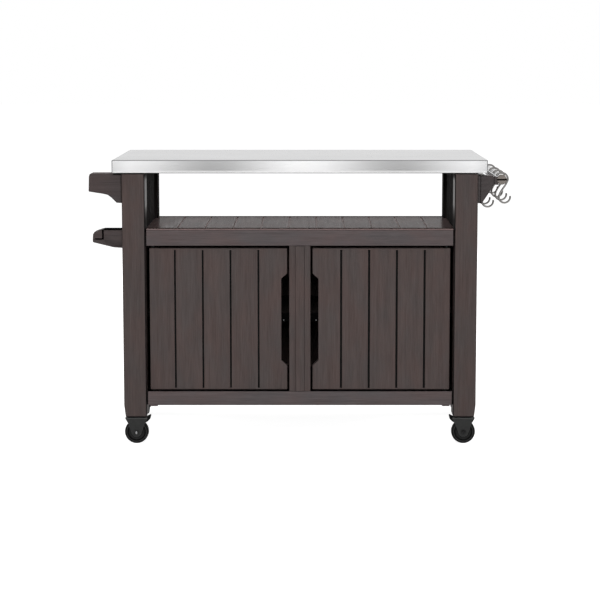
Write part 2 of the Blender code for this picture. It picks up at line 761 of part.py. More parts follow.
def caster(word, place, turn, plate_middle, braked, stuff):
    """Plate with its king pin, fork, wheel and axle bolt, and a brake lever on some."""
    base = empty(f"{word}_swivel_axis", place, turn)
    u, v = plate_middle
    corner_low = (u - PLATE_HALF, v - PLATE_HALF, PLATE_LOW)
    corner_high = (u + PLATE_HALF, v + PLATE_HALF, FOOT - GAP)
    plate = finish(f"caster_plate_{word}", box(corner_low, corner_high, 0.0006), stuff["zinc"], parent=base)
    pin = [
        upright(BOSS_RADIUS, FORK_TOP + GAP, PLATE_LOW + 0.001, 20),
        upright(KING_RADIUS, KING_HEAD_LOW + 0.001, PLATE_LOW + 0.001),
        upright(KING_HEAD_RADIUS, KING_HEAD_LOW, KING_HEAD_TOP),
    ]
    carve(plate, pin, "UNION")
    outer = CHEEK_IN + FORK_SHEET
    fork = finish(f"caster_fork_{word}", prism(fork_shape(), "Y", -outer, outer), stuff["fork"], parent=base)
    cuts = [
        box((-0.05, -CHEEK_IN, -REACH), (0.08, CHEEK_IN, FORK_TOP - FORK_SHEET)),
        cylinder((0, 0, FORK_TOP), "Z", KING_RADIUS + GAP, REACH, 16),
        cylinder((TRAIL, 0, WHEEL_RADIUS), "Y", AXLE_RADIUS + GAP, 0.03, 16),
    ]
    if braked:
        lever_axis = (TRAIL + LEVER_PIVOT_X, 0, LEVER_PIVOT_Z)
        cuts.append(box((TRAIL + 0.0180, -CHEEK_IN, 0.0700), (TRAIL + 0.0500, CHEEK_IN, FORK_TOP + REACH)))
        cuts.append(cylinder(lever_axis, "Y", LEVER_PIN_RADIUS + GAP, 0.03, 12))
    carve(fork, cuts)
    axle_hole = AXLE_RADIUS + GAP
    tyre = [
        (axle_hole, -WHEEL_HALF - 0.0015),
        (0.0090, -WHEEL_HALF - 0.0015),
        (0.0105, -WHEEL_HALF + 0.0020),
        (0.0265, -WHEEL_HALF + 0.0020),
        (0.0285, -WHEEL_HALF),
        (0.0350, -WHEEL_HALF),
        (WHEEL_RADIUS, -WHEEL_HALF + 0.0040),
        (WHEEL_RADIUS, WHEEL_HALF - 0.0040),
        (0.0350, WHEEL_HALF),
        (0.0285, WHEEL_HALF),
        (0.0265, WHEEL_HALF - 0.0020),
        (0.0105, WHEEL_HALF - 0.0020),
        (0.0090, WHEEL_HALF + 0.0015),
        (axle_hole, WHEEL_HALF + 0.0015),
    ]
    axis = (TRAIL, 0, WHEEL_RADIUS)
    shape = spun(tyre, axis, closed=True, segments=32)
    finish(f"caster_wheel_{word}", shape, stuff["rubber"], axis, base, smooth=True)
    bolt = [
        (0, -outer - 0.0040),
        (0.0060, -outer - 0.0040),
        (0.0070, -outer - 0.0030),
        (0.0070, -outer - GAP),
        (AXLE_RADIUS, -outer - GAP),
        (AXLE_RADIUS, outer + GAP),
        (0.0065, outer + GAP),
        (0.0065, outer + 0.0050),
        (0, outer + 0.0050),
    ]
    finish(f"caster_axle_{word}", spun(bolt, axis, False, 16), stuff["zinc"], axis, base, smooth=True)
    if braked:
        brake_lever(word, base, stuff["black"])


def brake_lever(word, base, black):
    """A pedal on two small pins of its own, which sit in the fork's cheeks."""
    outline = [
        (0.0205, 0.0700),
        (0.0295, 0.0668),
        (0.0360, 0.0715),
        (0.0430, 0.0785),
        (0.0450, 0.0865),
        (0.0440, 0.0898),
        (0.0408, 0.0898),
        (0.0385, 0.0878),
        (0.0340, 0.0862),
        (0.0300, 0.0815),
        (0.0245, 0.0790),
        (0.0205, 0.0765),
    ]
    shape = prism([(TRAIL + u, z) for u, z in outline], "Y", -LEVER_HALF, LEVER_HALF)
    bevel(shape, shape.edges, 0.0006)
    lever = finish(f"brake_lever_{word}", shape, black, parent=base)
    pivot = Vector((TRAIL + LEVER_PIVOT_X, 0, LEVER_PIVOT_Z))
    carve(lever, [cylinder(pivot, "Y", LEVER_PIN_RADIUS, CHEEK_IN + 0.002, 12)], "UNION")
    lever.data.transform(Matrix.Translation(-pivot))
    lever.location = pivot
    return lever


def build():
    clear_scene()
    resin = material("brown_resin", (0.076, 0.058, 0.055), 0.55)
    shelf_resin = material("shelf_resin", (0.105, 0.088, 0.088), 0.55)
    steel = material("brushed_steel", (0.66, 0.66, 0.67), 0.30, 1.0)
    wire = material("wire_steel", (0.30, 0.29, 0.28), 0.30, 1.0)
    stuff = {
        "zinc": material("zinc_plate", (0.45, 0.45, 0.46), 0.40, 1.0),
        "fork": material("fork_steel", (0.042, 0.042, 0.043), 0.45),
        "rubber": material("tyre_rubber", (0.015, 0.015, 0.015), 0.70),
        "black": material("black_plastic", (0.012, 0.012, 0.012), 0.50),
    }
    steel_top(steel)
    top_deck(resin)
    for side, word in ((-1, "left"), (1, "right")):
        leg(f"leg_front_{word}", side, True, resin)
        leg(f"leg_rear_{word}", side, False, resin)
        side_panel(f"side_panel_{word}", side, resin)
        door(side, word, resin)
        door_catch(side, word, stuff["zinc"])
    shelf_board(shelf_resin)
    upper = front_rail("shelf_front_rail", SHELF_RAIL_BOTTOM, SHELF_RAIL_TOP, resin)
    half = LEG_IN
    behind = box(
        (-half, FRONT_FACE + RAIL_LIP, SHELF_TOP - SHELF_THICK - GAP),
        (half, FRONT_FACE + RAIL_DEPTH + REACH, SHELF_RAIL_TOP + REACH),
    )
    carve(upper, [behind])
    pin_holes(upper, SHELF_RAIL_BOTTOM - REACH, SHELF_RAIL_BOTTOM + 0.018)
    lower = front_rail("bottom_front_rail", BOTTOM_RAIL_LOW, BOTTOM_RAIL_TOP, resin)
    pads = []
    for side in (-1, 1):
        low_x, high_x = mirrored(side, RAIL_PAD_IN, RAIL_PAD_OUT)
        low = (low_x, FRONT_FACE + 0.003, BOTTOM_RAIL_LOW - RAIL_PAD_DROP)
        pads.append(box(low, (high_x, FRONT_FACE + RAIL_DEPTH - 0.004, BOTTOM_RAIL_LOW + 0.006)))
    carve(lower, pads, "UNION")
    pin_holes(lower, BOTTOM_RAIL_TOP - 0.018, BOTTOM_RAIL_TOP + REACH)
    cabinet_boards(resin)
    centre_post(resin)
    hinge_pins(stuff["zinc"])
    towel_arms(resin, steel)
    rack(resin)
    bar_bracket("bar_bracket_front", True, resin)
    bar_bracket("bar_bracket_rear", False, resin)
    hook_bar(steel, resin, stuff["zinc"])
    hooks(wire)
    inset = SWIVEL_X - (LEG_IN + LEG_OUT) / 2
    quarter = math.pi / 2
    caster("front_left", (-SWIVEL_X, SWIVEL_FRONT_Y, 0), 0.0, (inset, 0), True, stuff)
    caster("front_right", (SWIVEL_X, SWIVEL_FRONT_Y, 0), 2 * quarter, (inset, 0), True, stuff)
    caster("rear_left", (-SWIVEL_X, SWIVEL_REAR_Y, 0), -quarter, (0, inset), False, stuff)
    caster("rear_right", (SWIVEL_X, SWIVEL_REAR_Y, 0), -quarter, (0, -inset), False, stuff)
    bpy.context.view_layer.update()


build()
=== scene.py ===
"""The bar cart's looks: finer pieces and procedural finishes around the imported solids."""

import json
import math

import bmesh
import bpy
from mathutils import Matrix, Vector

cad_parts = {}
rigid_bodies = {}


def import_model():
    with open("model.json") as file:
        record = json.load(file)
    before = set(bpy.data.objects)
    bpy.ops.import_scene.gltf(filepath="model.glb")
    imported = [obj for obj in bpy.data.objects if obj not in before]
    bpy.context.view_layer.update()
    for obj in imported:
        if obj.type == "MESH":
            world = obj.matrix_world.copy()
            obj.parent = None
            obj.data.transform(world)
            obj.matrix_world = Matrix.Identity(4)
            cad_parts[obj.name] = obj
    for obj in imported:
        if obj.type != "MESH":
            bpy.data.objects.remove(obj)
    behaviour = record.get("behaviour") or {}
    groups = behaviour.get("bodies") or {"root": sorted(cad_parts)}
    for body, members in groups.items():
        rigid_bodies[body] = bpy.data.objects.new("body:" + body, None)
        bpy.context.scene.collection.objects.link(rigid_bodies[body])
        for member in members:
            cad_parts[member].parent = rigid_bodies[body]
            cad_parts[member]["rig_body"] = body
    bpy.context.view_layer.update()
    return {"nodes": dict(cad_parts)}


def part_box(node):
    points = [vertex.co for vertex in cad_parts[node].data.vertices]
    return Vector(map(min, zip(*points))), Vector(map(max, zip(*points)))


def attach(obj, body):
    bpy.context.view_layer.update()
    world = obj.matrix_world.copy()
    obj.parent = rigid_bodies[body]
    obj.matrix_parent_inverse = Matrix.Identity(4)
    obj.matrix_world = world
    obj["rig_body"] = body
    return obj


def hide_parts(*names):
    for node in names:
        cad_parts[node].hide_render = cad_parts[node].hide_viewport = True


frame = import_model()
nodes = frame["nodes"]

QUARTER = math.pi / 2
SIDES = ((-1, "left"), (1, "right"))

# Tolerances in metres, and the angles in degrees up to which faces are shaded as one
CLOSE, NEAR = 0.0001, 0.0002
FLAT_ANGLE, SHEET_ANGLE, ROUND_ANGLE, CHEEK_ANGLE, WIRE_ANGLE = 16, 35, 40, 50, 60

# Steel top
TOP_HALF_X, TOP_HALF_Y = 0.580, 0.260
TOP_HIGH, TOP_LOW = 0.900, 0.862
STEEL_SHEET = 0.0012
SKIRT_CORNER, TOP_RIM = 0.0030, 0.0025
SKIRT_RETURN = 0.009
HEM_LOW, HEM_HIGH = 0.002, 0.007
# Painted reflection: grey bands across the skirt, as (share along X, grey)
TOP_REFLECTION_BANDS = (
    (0.0, 0.81),
    (0.06, 0.92),
    (0.27, 0.485),
    (0.51, 1.0),
    (0.76, 0.485),
    (0.95, 0.92),
    (1.0, 0.82),
)

# Hook bar, its plug and the hooks
BAR_AXIS = (0.6272, 0.837)
BAR_RADIUS = 0.0155
BAR_FRONT, BAR_REAR = -0.226, 0.243
TUBE_WALL, TUBE_END = 0.0015, 0.004
INNER_RAIL_AXIS = (0.5814, 0.8309)
INNER_RAIL_RADIUS = 0.005
PLUG_RIM = 0.0007
WIRE_RADIUS = 0.0030
WIRE_SIDES = 14
HOOK_SHIFT = (0.0012, 0.0005)
HOOK_RADIUS = 0.0194
CROOK_CENTRE = (0.0108, -0.0560)
CROOK_RADIUS = 0.0176
RAIL_HOOK_SHIFT = (-0.0470, -0.0173)
BAR_HOOK_DEPTHS = (-0.210, -0.110, 0.000, 0.140)
RAIL_HOOK_DEPTHS = (-0.160, -0.060)

# Fronts, grooves and gaps
FRONT_FACE = -0.245
LEG_GAP_DEEP = 0.010
DOOR_FRONT = -0.238
DOOR_GROOVE_DEEP = 0.007
GROOVE_HALF = 0.00275
PANEL_PLANKS = 4
DOOR_GROOVE_RIM = 0.0006
SHELF_TOP = 0.674
SHELF_RIM_STEP, SHELF_GROOVE_DEEP = 0.009, 0.004
STRIP_HALF = 0.0143
STRIP_CHAMFER = 0.0011
POST_HALF = 0.02
# Heights where the painted sheen on the legs' faces towards the bay rises and falls
PAINTED_SHEEN_RISE, PAINTED_SHEEN_FALL = (0.712, 0.755), (0.835, 0.853)

# Arms and brackets
ARM_FRONT = -0.230
ARM_JOINT_DEEP = 0.003
BRACKET_LINE_DEEP = 0.002
PLUG_FACE = -0.231
PLUG_SLOT_DEEP = 0.0015
RACK_SEAM = 0.0038
RACK_SEAM_X = -0.6110
RACK_SEAM_Z = 0.6500
RACK_SEAM_LOW = 0.0030
RACK_SEAM_START = -0.6372
RACK_STRIP_LOW = 0.6805
RACK_SEAM_RIM = 0.0008
BRACKET_SCREW = (0.5617, -0.2282, 0.7870)

# Towel rod
ROD_AXIS = (-0.628, 0.812)
ROD_RADIUS = 0.008

# Hinge pins and door catches
PIN_RADIUS = 0.004
CATCH_STUD = (0.0510, -0.2152, 0.3940)

# Casters
TRAIL = 0.013
WHEEL_RADIUS = 0.0375
WHEEL_HALF = 0.011
CHEEK_IN, CHEEK_OUT = 0.0140, 0.0165
FORK_TOP, FORK_UNDER = 0.0840, 0.0815
FORK_BAND = 0.0795
FORK_HALF, BRAKED_FORK_REACH = 0.0350, 0.0180
PEDAL_TOP = 0.0898
PEDAL_RIB, PEDAL_RIB_STEP = 0.0414, 0.0010
PEDAL_HALF = 0.0095
CASTERS = {
    "front_left": (-0.529, -0.210, 0.0, True),
    "front_right": (0.529, -0.210, 2 * QUARTER, True),
    "rear_left": (-0.529, 0.2225, -QUARTER, False),
    "rear_right": (0.529, 0.2225, -QUARTER, False),
}

# Light and camera
WORLD_FILL = 0.12
SIDE_FLAGS, FRONT_GLOW = 0.25, 1.08
FLAG_SPAN = (0.25, 0.75)
FLOOR_TONE, FLOOR_MIRROR = 0.55, 0.45
FLOOR_NEAR = 0.86
FLOOR_FADE = (0.8, 2.4)
LAMPS = (
    ("front_softbox", (0.0, -4.6, 2.1), 0.45, (2.0, 1.8), 150),
    ("top_softbox", (0.0, -0.3, 3.8), 0.5, (2.4, 1.8), 60),
    ("right_softbox", (4.2, 0.4, 1.6), 0.5, (1.8, 1.8), 60),
    ("left_softbox", (-4.2, 0.4, 1.6), 0.5, (1.8, 1.8), 60),
    ("back_softbox", (0.0, 4.4, 2.0), 0.5, (2.0, 1.8), 70),
)
CAMERA_PLACE = (0.032, -5.330, 1.2475)
CAMERA_LENS = 98.93
CAMERA_PITCH = 0.1096
CAMERA_SHIFT = (-0.0168, -0.12)

# Colours
# Painted shade: the share of a colour left on faces marked deep, in grooves, seams, recesses and other faces
# in shade
GROOVE_SHADE = 0.02
LEG_TONE = (0.0700, 0.0540, 0.0510)
DOOR_TONE = (0.0740, 0.0570, 0.0540)
RAIL_TONE = (0.0920, 0.0750, 0.0750)
SHELF_TONE = (0.1450, 0.1060, 0.1020)
SHELF_IOR = 1.023
BRACKET_TONE = (0.0590, 0.0484, 0.0476)
# Painted shade: darker copies of the resin for the cabinet's inside and the faces towards the open bay
INNER_SHADED_TONE = (0.0300, 0.0250, 0.0240)
BAY_SHADED_TONE = (0.0200, 0.0170, 0.0165)
COOL_TINT, WARM_TINT = (0.95, 1.01, 1.03), (1.05, 0.99, 0.98)
# The legs' faces towards the bay: a painted sheen strip over a body in painted shade, and its edges
PAINTED_SHEEN_LOW, PAINTED_SHEEN_HIGH = (0.13, 0.112, 0.108), (0.17, 0.148, 0.144)
RETURN_PAINTED_SHADE, RETURN_EDGE = (0.016, 0.014, 0.0135), (0.03, 0.026, 0.025)
NEARLY_BLACK = (0.002, 0.002, 0.002)
STEEL_LOW, STEEL_HIGH = (0.565, 0.565, 0.568), (0.655, 0.655, 0.658)
STEEL_LINE, STEEL_EDGE = (0.35, 0.35, 0.36), (0.36, 0.36, 0.365)
# The hem colour is a painted highlight along the skirt's lower edge
STEEL_HEM_HIGHLIGHT = (0.97, 0.97, 0.97)


# Finishes


def new_finish(name):
    """A material with a Principled shader, and short ways to add and join its nodes."""
    made = bpy.data.materials.new(name)
    made.use_nodes = True
    return made, made.node_tree, made.node_tree.nodes["Principled BSDF"]


def add(tree, kind, **values):
    """A new shader node, with its settings by name and its sockets' values as in_0, in_1 and so on."""
    node = tree.nodes.new(kind)
    for key, value in values.items():
        if key.startswith("in_"):
            node.inputs[int(key[3:])].default_value = value
        else:
            setattr(node, key, value)
    return node


def object_noise(tree, stretch, scale=1.0, detail=4.0, rough=0.55):
    """Noise over the object's own coordinates, in metres, with its own scale on each axis."""
    place = add(tree, "ShaderNodeTexCoord")
    mapping = add(tree, "ShaderNodeMapping")
    mapping.inputs["Scale"].default_value = stretch
    tree.links.new(place.outputs["Object"], mapping.inputs["Vector"])
    noise = add(tree, "ShaderNodeTexNoise")
    noise.inputs["Scale"].default_value = scale
    noise.inputs["Detail"].default_value = detail
    noise.inputs["Roughness"].default_value = rough
    tree.links.new(mapping.outputs["Vector"], noise.inputs["Vector"])
    return noise.outputs["Fac"]


def spread(tree, value, low, high, to_low=0.0, to_high=1.0):
    """Stretches the part of a value between low and high over a new range."""
    node = add(tree, "ShaderNodeMapRange")
    node.inputs["From Min"].default_value = low
    node.inputs["From Max"].default_value = high
    node.inputs["To Min"].default_value = to_low
    node.inputs["To Max"].default_value = to_high
    tree.links.new(value, node.inputs["Value"])
    return node.outputs["Result"]


def math_node(tree, operation, *values):
    """Joins numbers or other nodes' outputs by one arithmetic operation."""
    node = add(tree, "ShaderNodeMath", operation=operation)
    for socket, value in zip(node.inputs, values):
        if isinstance(value, (int, float)):
            socket.default_value = value
        else:
            tree.links.new(value, socket)
    return node.outputs[0]


def blend_colours(tree, share, first, second, how="MIX"):
    """Mixes two colours, each a fixed one or another node's output, by a share."""
    node = add(tree, "ShaderNodeMix", data_type="RGBA", blend_type=how)
    if isinstance(share, (int, float)):
        node.inputs[0].default_value = share
    else:
        tree.links.new(share, node.inputs[0])
    for socket, colour in ((node.inputs[6], first), (node.inputs[7], second)):
        if isinstance(colour, (tuple, list)):
            socket.default_value = (*colour, 1.0)
        else:
            tree.links.new(colour, socket)
    return node.outputs[2]


def bump(tree, shader, height, strength, distance):
    """Gives a shader a fine relief from a height value."""
    node = add(tree, "ShaderNodeBump")
    node.inputs["Strength"].default_value = strength
    node.inputs["Distance"].default_value = distance
    tree.links.new(height, node.inputs["Height"])
    tree.links.new(node.outputs["Normal"], shader.inputs["Normal"])


def object_axes(tree):
    """The three object coordinates, each as an output of its own."""
    place = add(tree, "ShaderNodeTexCoord")
    parts = add(tree, "ShaderNodeSeparateXYZ")
    tree.links.new(place.outputs["Object"], parts.inputs[0])
    return parts.outputs


def face_share(tree, mark):
    """1 on faces with a mark: the edge mark on rounded edges, for wear and painted light and shade on edges;
    "deep" on grooves, seams and other faces given painted shade; the highlight mark on faces given painted
    light.
    """
    return add(tree, "ShaderNodeAttribute", attribute_name=mark).outputs["Fac"]


def scaled(colour, factor):
    """A colour made brighter or darker, up to white."""
    return tuple(min(1.0, c * factor) for c in colour)


def resin_finish(name, colour, along, edge=0.75, rough=0.50, gloss=0.15, relief=0.5, painted_highlight=2.0):
    """Moulded resin with a fine wood grain along one axis, cooler and warmer patches, and toned edges, with
    painted light and shade on rounded edges, painted highlights and painted shade on marked faces.
    """
    made, tree, shader = new_finish(name)
    fine = {"X": (16, 520, 520), "Y": (520, 16, 520), "Z": (520, 520, 16)}[along]
    broad = {"X": (5, 90, 90), "Y": (90, 5, 90), "Z": (90, 90, 5)}[along]
    patch = {"X": (7, 16, 16), "Y": (16, 7, 16), "Z": (16, 16, 7)}[along]
    streaks = spread(tree, object_noise(tree, fine, 1.0, 5.0, 0.6), 0.32, 0.68)
    bands = spread(tree, object_noise(tree, broad, 1.0, 4.0), 0.35, 0.65)
    clouds = spread(tree, object_noise(tree, patch, 1.0, 3.0), 0.36, 0.64)
    grain = blend_colours(tree, streaks, scaled(colour, 0.76), scaled(colour, 1.24))
    toned = blend_colours(tree, bands, scaled(colour, 0.84), scaled(colour, 1.16))
    both = blend_colours(tree, 0.5, grain, toned)
    tint = blend_colours(tree, clouds, COOL_TINT, WARM_TINT)
    mottled = blend_colours(tree, 1.0, both, tint, "MULTIPLY")
    # Rounded edges: wear and painted light and shade, by the edge factor
    edged = blend_colours(tree, face_share(tree, "wear_and_painted_light"), mottled, scaled(colour, edge))
    # Painted highlight: marked faces are made brighter by the highlight factor, as where they take the light
    highlighted = blend_colours(tree, face_share(tree, "painted_highlight"), edged, scaled(colour, painted_highlight))
    # Painted shade in grooves, seams, recesses and other marked faces
    grooved = blend_colours(tree, face_share(tree, "deep"), highlighted, scaled(colour, GROOVE_SHADE))
    tree.links.new(grooved, shader.inputs["Base Color"])
    tree.links.new(spread(tree, streaks, 0, 1, rough + 0.08, rough - 0.06), shader.inputs["Roughness"])
    shader.inputs["Specular IOR Level"].default_value = gloss
    bump(tree, shader, streaks, relief, 0.0004)
    return made


def painted_sheen_finish():
    """Dark resin in painted shade, with a painted sheen in a strip by the middle of the open bay's height."""
    made, tree, shader = new_finish("return_painted_sheen")
    height = object_axes(tree)["Z"]
    rising = spread(tree, height, *PAINTED_SHEEN_RISE)
    falling = spread(tree, height, *PAINTED_SHEEN_FALL, 1.0, 0.0)
    painted_sheen = math_node(tree, "MULTIPLY", rising, falling)
    streaks = object_noise(tree, (300, 300, 12), 1.0, 3.0)
    lit = blend_colours(tree, spread(tree, streaks, 0.3, 0.7), PAINTED_SHEEN_LOW, PAINTED_SHEEN_HIGH)
    body = blend_colours(tree, painted_sheen, RETURN_PAINTED_SHADE, lit)
    edged = blend_colours(tree, face_share(tree, "wear_and_painted_light"), body, RETURN_EDGE)
    grooved = blend_colours(tree, face_share(tree, "deep"), edged, NEARLY_BLACK)
    tree.links.new(grooved, shader.inputs["Base Color"])
    tree.links.new(spread(tree, painted_sheen, 0.0, 1.0, 0.95, 0.35), shader.inputs["Roughness"])
    shader.inputs["Specular IOR Level"].default_value = 0.5
    return made


def steel_top_finish():
    """Brushed stainless sheet: fine lines along X, two soft darker bands of painted reflection across the
    long faces, a painted highlight along the hem, and painted shade on rounded edges.
    """
    made, tree, shader = new_finish("brushed_top")
    lines = object_noise(tree, (6, 900, 900), 1.0, 3.0, 0.5)
    smears = object_noise(tree, (1.5, 60, 60), 1.0, 2.0)
    places = object_axes(tree)
    across = spread(tree, places["X"], -TOP_HALF_X, TOP_HALF_X)
    # Painted reflection: the grey bands along X on the skirt's faces; the level top takes the plain brushed
    # colour
    bands = add(tree, "ShaderNodeValToRGB")
    bands.color_ramp.interpolation = "CARDINAL"
    ramp = bands.color_ramp.elements
    ramp[0].position, ramp[1].position = TOP_REFLECTION_BANDS[0][0], TOP_REFLECTION_BANDS[-1][0]
    for share, _ in TOP_REFLECTION_BANDS[1:-1]:
        ramp.new(share)
    for element, (_, grey) in zip(ramp, TOP_REFLECTION_BANDS):
        element.color = (grey, grey, grey * 1.005, 1.0)
    tree.links.new(across, bands.inputs[0])
    face = add(tree, "ShaderNodeNewGeometry")
    facing = add(tree, "ShaderNodeSeparateXYZ")
    tree.links.new(face.outputs["True Normal"], facing.inputs[0])
    upward = spread(tree, facing.outputs["Z"], 0.3, 0.9)
    plain = blend_colours(tree, spread(tree, smears, 0.3, 0.7), STEEL_LOW, STEEL_HIGH)
    body = blend_colours(tree, upward, bands.outputs["Color"], plain)
    lined = blend_colours(tree, spread(tree, lines, 0.3, 0.7, 0.0, 0.06), body, STEEL_LINE)
    # Painted highlight: the skirt's lowest few millimetres turn near white
    low_edge = spread(tree, places["Z"], TOP_LOW + HEM_LOW, TOP_LOW + HEM_HIGH, 0.75, 0.0)
    hem_highlighted = blend_colours(tree, low_edge, lined, STEEL_HEM_HIGHLIGHT)
    edged = blend_colours(tree, face_share(tree, "wear_and_painted_light"), hem_highlighted, STEEL_EDGE)
    tree.links.new(edged, shader.inputs["Base Color"])
    shader.inputs["Metallic"].default_value = 1.0
    tree.links.new(spread(tree, lines, 0.3, 0.7, 0.26, 0.40), shader.inputs["Roughness"])
    bump(tree, shader, lines, 0.12, 0.0001)
    return made


def metal_finish(name, colour, rough, lines=(700, 20, 700), edge=1.2, metallic=1.0):
    """Bare or plated metal with fine drawing lines and slight tarnish."""
    made, tree, shader = new_finish(name)
    drawn = object_noise(tree, lines, 1.0, 3.0)
    tarnish = spread(tree, object_noise(tree, (90, 90, 90), 1.0, 3.0), 0.35, 0.7)
    body = blend_colours(tree, tarnish, scaled(colour, 1.05), scaled(colour, 0.88))
    lined = blend_colours(tree, spread(tree, drawn, 0.3, 0.7, 0.0, 0.25), body, scaled(colour, 0.7))
    # Rounded edges: wear and painted light, by the edge factor
    edged = blend_colours(tree, face_share(tree, "wear_and_painted_light"), lined, scaled(colour, edge))
    tree.links.new(edged, shader.inputs["Base Color"])
    shader.inputs["Metallic"].default_value = metallic
    roughness = spread(tree, drawn, 0.3, 0.7, rough - 0.05, rough + 0.08)
    tree.links.new(roughness, shader.inputs["Roughness"])
    bump(tree, shader, drawn, 0.08, 0.0001)
    return made


def moulded_finish(name, colour, rough, grain=900, edge=1.5, gloss=0.12):
    """Plastic, rubber or paint with a fine even texture, edges toned for wear and painted light and shade,
    and painted shade in grooves.
    """
    made, tree, shader = new_finish(name)
    fine = object_noise(tree, (grain, grain, grain), 1.0, 2.0)
    dust = spread(tree, object_noise(tree, (60, 60, 60), 1.0, 4.0), 0.35, 0.7)
    body = blend_colours(tree, dust, scaled(colour, 0.92), scaled(colour, 1.15))
    edged = blend_colours(tree, face_share(tree, "wear_and_painted_light"), body, scaled(colour, edge))
    grooved = blend_colours(tree, face_share(tree, "deep"), edged, scaled(colour, GROOVE_SHADE))
    tree.links.new(grooved, shader.inputs["Base Color"])
    shader.inputs["Specular IOR Level"].default_value = gloss
    tree.links.new(spread(tree, fine, 0.3, 0.7, rough - 0.04, rough + 0.06), shader.inputs["Roughness"])
    bump(tree, shader, fine, 0.2, 0.0002)
    return made


upright_resin = resin_finish("upright_resin", LEG_TONE, "Z")
door_resin = resin_finish("door_resin", DOOR_TONE, "Z", edge=0.9)
rail_resin = resin_finish("rail_resin", RAIL_TONE, "X", edge=1.15)
# The shelf's edge and highlight factors paint light on its rounded edges and plank lines
shelf_resin = resin_finish("shelf_resin", SHELF_TONE, "Y", 1.8, 0.22, 0.5, relief=0.08, painted_highlight=2.2)
shelf_resin.node_tree.nodes["Principled BSDF"].inputs["IOR"].default_value = SHELF_IOR
arm_resin = resin_finish("arm_resin", BRACKET_TONE, "X", edge=0.6)
# The inner and bay resins are the cabinet's resin in painted shade
inner_shaded_resin = resin_finish("inner_shaded_resin", INNER_SHADED_TONE, "Y", edge=1.1, rough=0.6, gloss=0.10)
bay_shaded_resin = resin_finish("bay_shaded_resin", BAY_SHADED_TONE, "Z", edge=1.2, rough=0.75, gloss=0.02)
return_painted_sheen = painted_sheen_finish()
top_steel = steel_top_finish()
tube_steel = metal_finish("tube_steel", (0.97, 0.97, 0.97), 0.25, (900, 3, 900), metallic=0.6)
wire_steel = metal_finish("hook_wire", (0.30, 0.29, 0.28), 0.08, (300, 300, 300))
zinc = metal_finish("zinc_plate", (0.34, 0.34, 0.345), 0.38, (240, 240, 240))
dark_zinc = metal_finish("dark_pin", (0.03, 0.03, 0.03), 0.5, (240, 240, 240))
# Edge factors: wear and painted light and shade on rounded edges; the plug's small one paints its rim dark as
# shade, the tyre's large one paints a light ring on its side
plug_resin = moulded_finish("plug_resin", (0.200, 0.177, 0.160), 0.40, edge=0.2)
fork_paint = moulded_finish("fork_paint", (0.0320, 0.0325, 0.0320), 0.42, edge=2.3)
tyre_rubber = moulded_finish("tyre_rubber", (0.0065, 0.0065, 0.0065), 0.62, edge=6.0)
hub_plastic = moulded_finish("hub_plastic", (0.0150, 0.0150, 0.0150), 0.45, edge=1.8)
black_plastic = moulded_finish("black_plastic", (0.0060, 0.0060, 0.0060), 0.42, edge=2.2, gloss=0.05)
# Near-black plastic of the swivel plates, also used as painted shade in the rack's seam and strip, the plug's
# slot and the door catches
swivel_black_and_shade = moulded_finish("swivel_black_and_shade", (0.0016, 0.0016, 0.0016), 0.70, edge=1.5, gloss=0.0)


# Ways of making a shape


def keep(name, shape, finishes, body, stands_for=(), smooth_angle=ROUND_ANGLE):
    """Makes a piece of the shape, lets it ride on a body and says which solids it stands for."""
    mesh = bpy.data.meshes.new(name)
    shape.to_mesh(mesh)
    shape.free()
    for one in finishes if isinstance(finishes, (list, tuple)) else [finishes]:
        mesh.materials.append(one)
    mesh.shade_smooth()
    mesh.set_sharp_from_angle(angle=math.radians(smooth_angle))
    piece = bpy.data.objects.new(name, mesh)
    bpy.context.scene.collection.objects.link(piece)
    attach(piece, body)
    if stands_for:
        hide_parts(*stands_for)
    return piece


def body_of(node):
    """The name of the body that a solid rides on."""
    return nodes[node]["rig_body"]


def mark_layer(shape, mark):
    """The layer that holds a mark's share on each face."""
    return shape.faces.layers.float.get(mark) or shape.faces.layers.float.new(mark)


def mark_faces(shape, mark, faces, share=1.0):
    """Marks faces for the finish, as in face_share."""
    layer = mark_layer(shape, mark)
    for face in faces:
        face[layer] = share


def bevel(shape, edges, width, segments=1, material=-1, clamp=True):
    """Bevels edges and returns the new faces."""
    done = bmesh.ops.bevel(
        shape,
        geom=edges,
        offset=width,
        segments=segments,
        affect="EDGES",
        profile=0.5,
        material=material,
        clamp_overlap=clamp,
    )
    return [f for f in done["faces"] if f.is_valid]


def soften(shape, edges, width, segments=2):
    """Rounds edges, and marks the new faces for wear and painted light and shade on edges."""
    mark_layer(shape, "wear_and_painted_light")
    mark_faces(shape, "wear_and_painted_light", bevel(shape, [e for e in edges if e.is_valid], width, segments))


def chamfer_rims(shape, faces, width, material=-1):
    """Chamfers the front rims of recesses, whose faces are given, and returns the new faces."""
    inside = set(faces)

    def at_front(edge):
        return any(f not in inside and f.normal.y < -0.9 for f in edge.link_faces)

    return bevel(shape, list({e for f in faces for e in f.edges if at_front(e)}), width, 1, material)


def corner_edges(shape, angle=25):
    """The edges where two faces meet at more than an angle in degrees."""
    limit = math.radians(angle)
    return [e for e in shape.edges if len(e.link_faces) == 2 and e.calc_face_angle(0) > limit]


def soften_beside(shape, faces, width, segments=2, angle=25):
    """Rounds a shape's sharp edges, apart from the edges of some faces."""
    crisp = {e for f in faces for e in f.edges}
    soften(shape, [e for e in corner_edges(shape, angle) if e not in crisp], width, segments)


def cut_across(shape, place, axis):
    """Cuts a shape's faces along a plane, and leaves both sides."""
    everything = shape.verts[:] + shape.edges[:] + shape.faces[:]
    bmesh.ops.bisect_plane(shape, geom=everything, plane_co=place, plane_no=axis)


def outward(shape):
    """Turns a closed shape's faces outwards."""
    bmesh.ops.recalc_face_normals(shape, faces=shape.faces)
    return shape


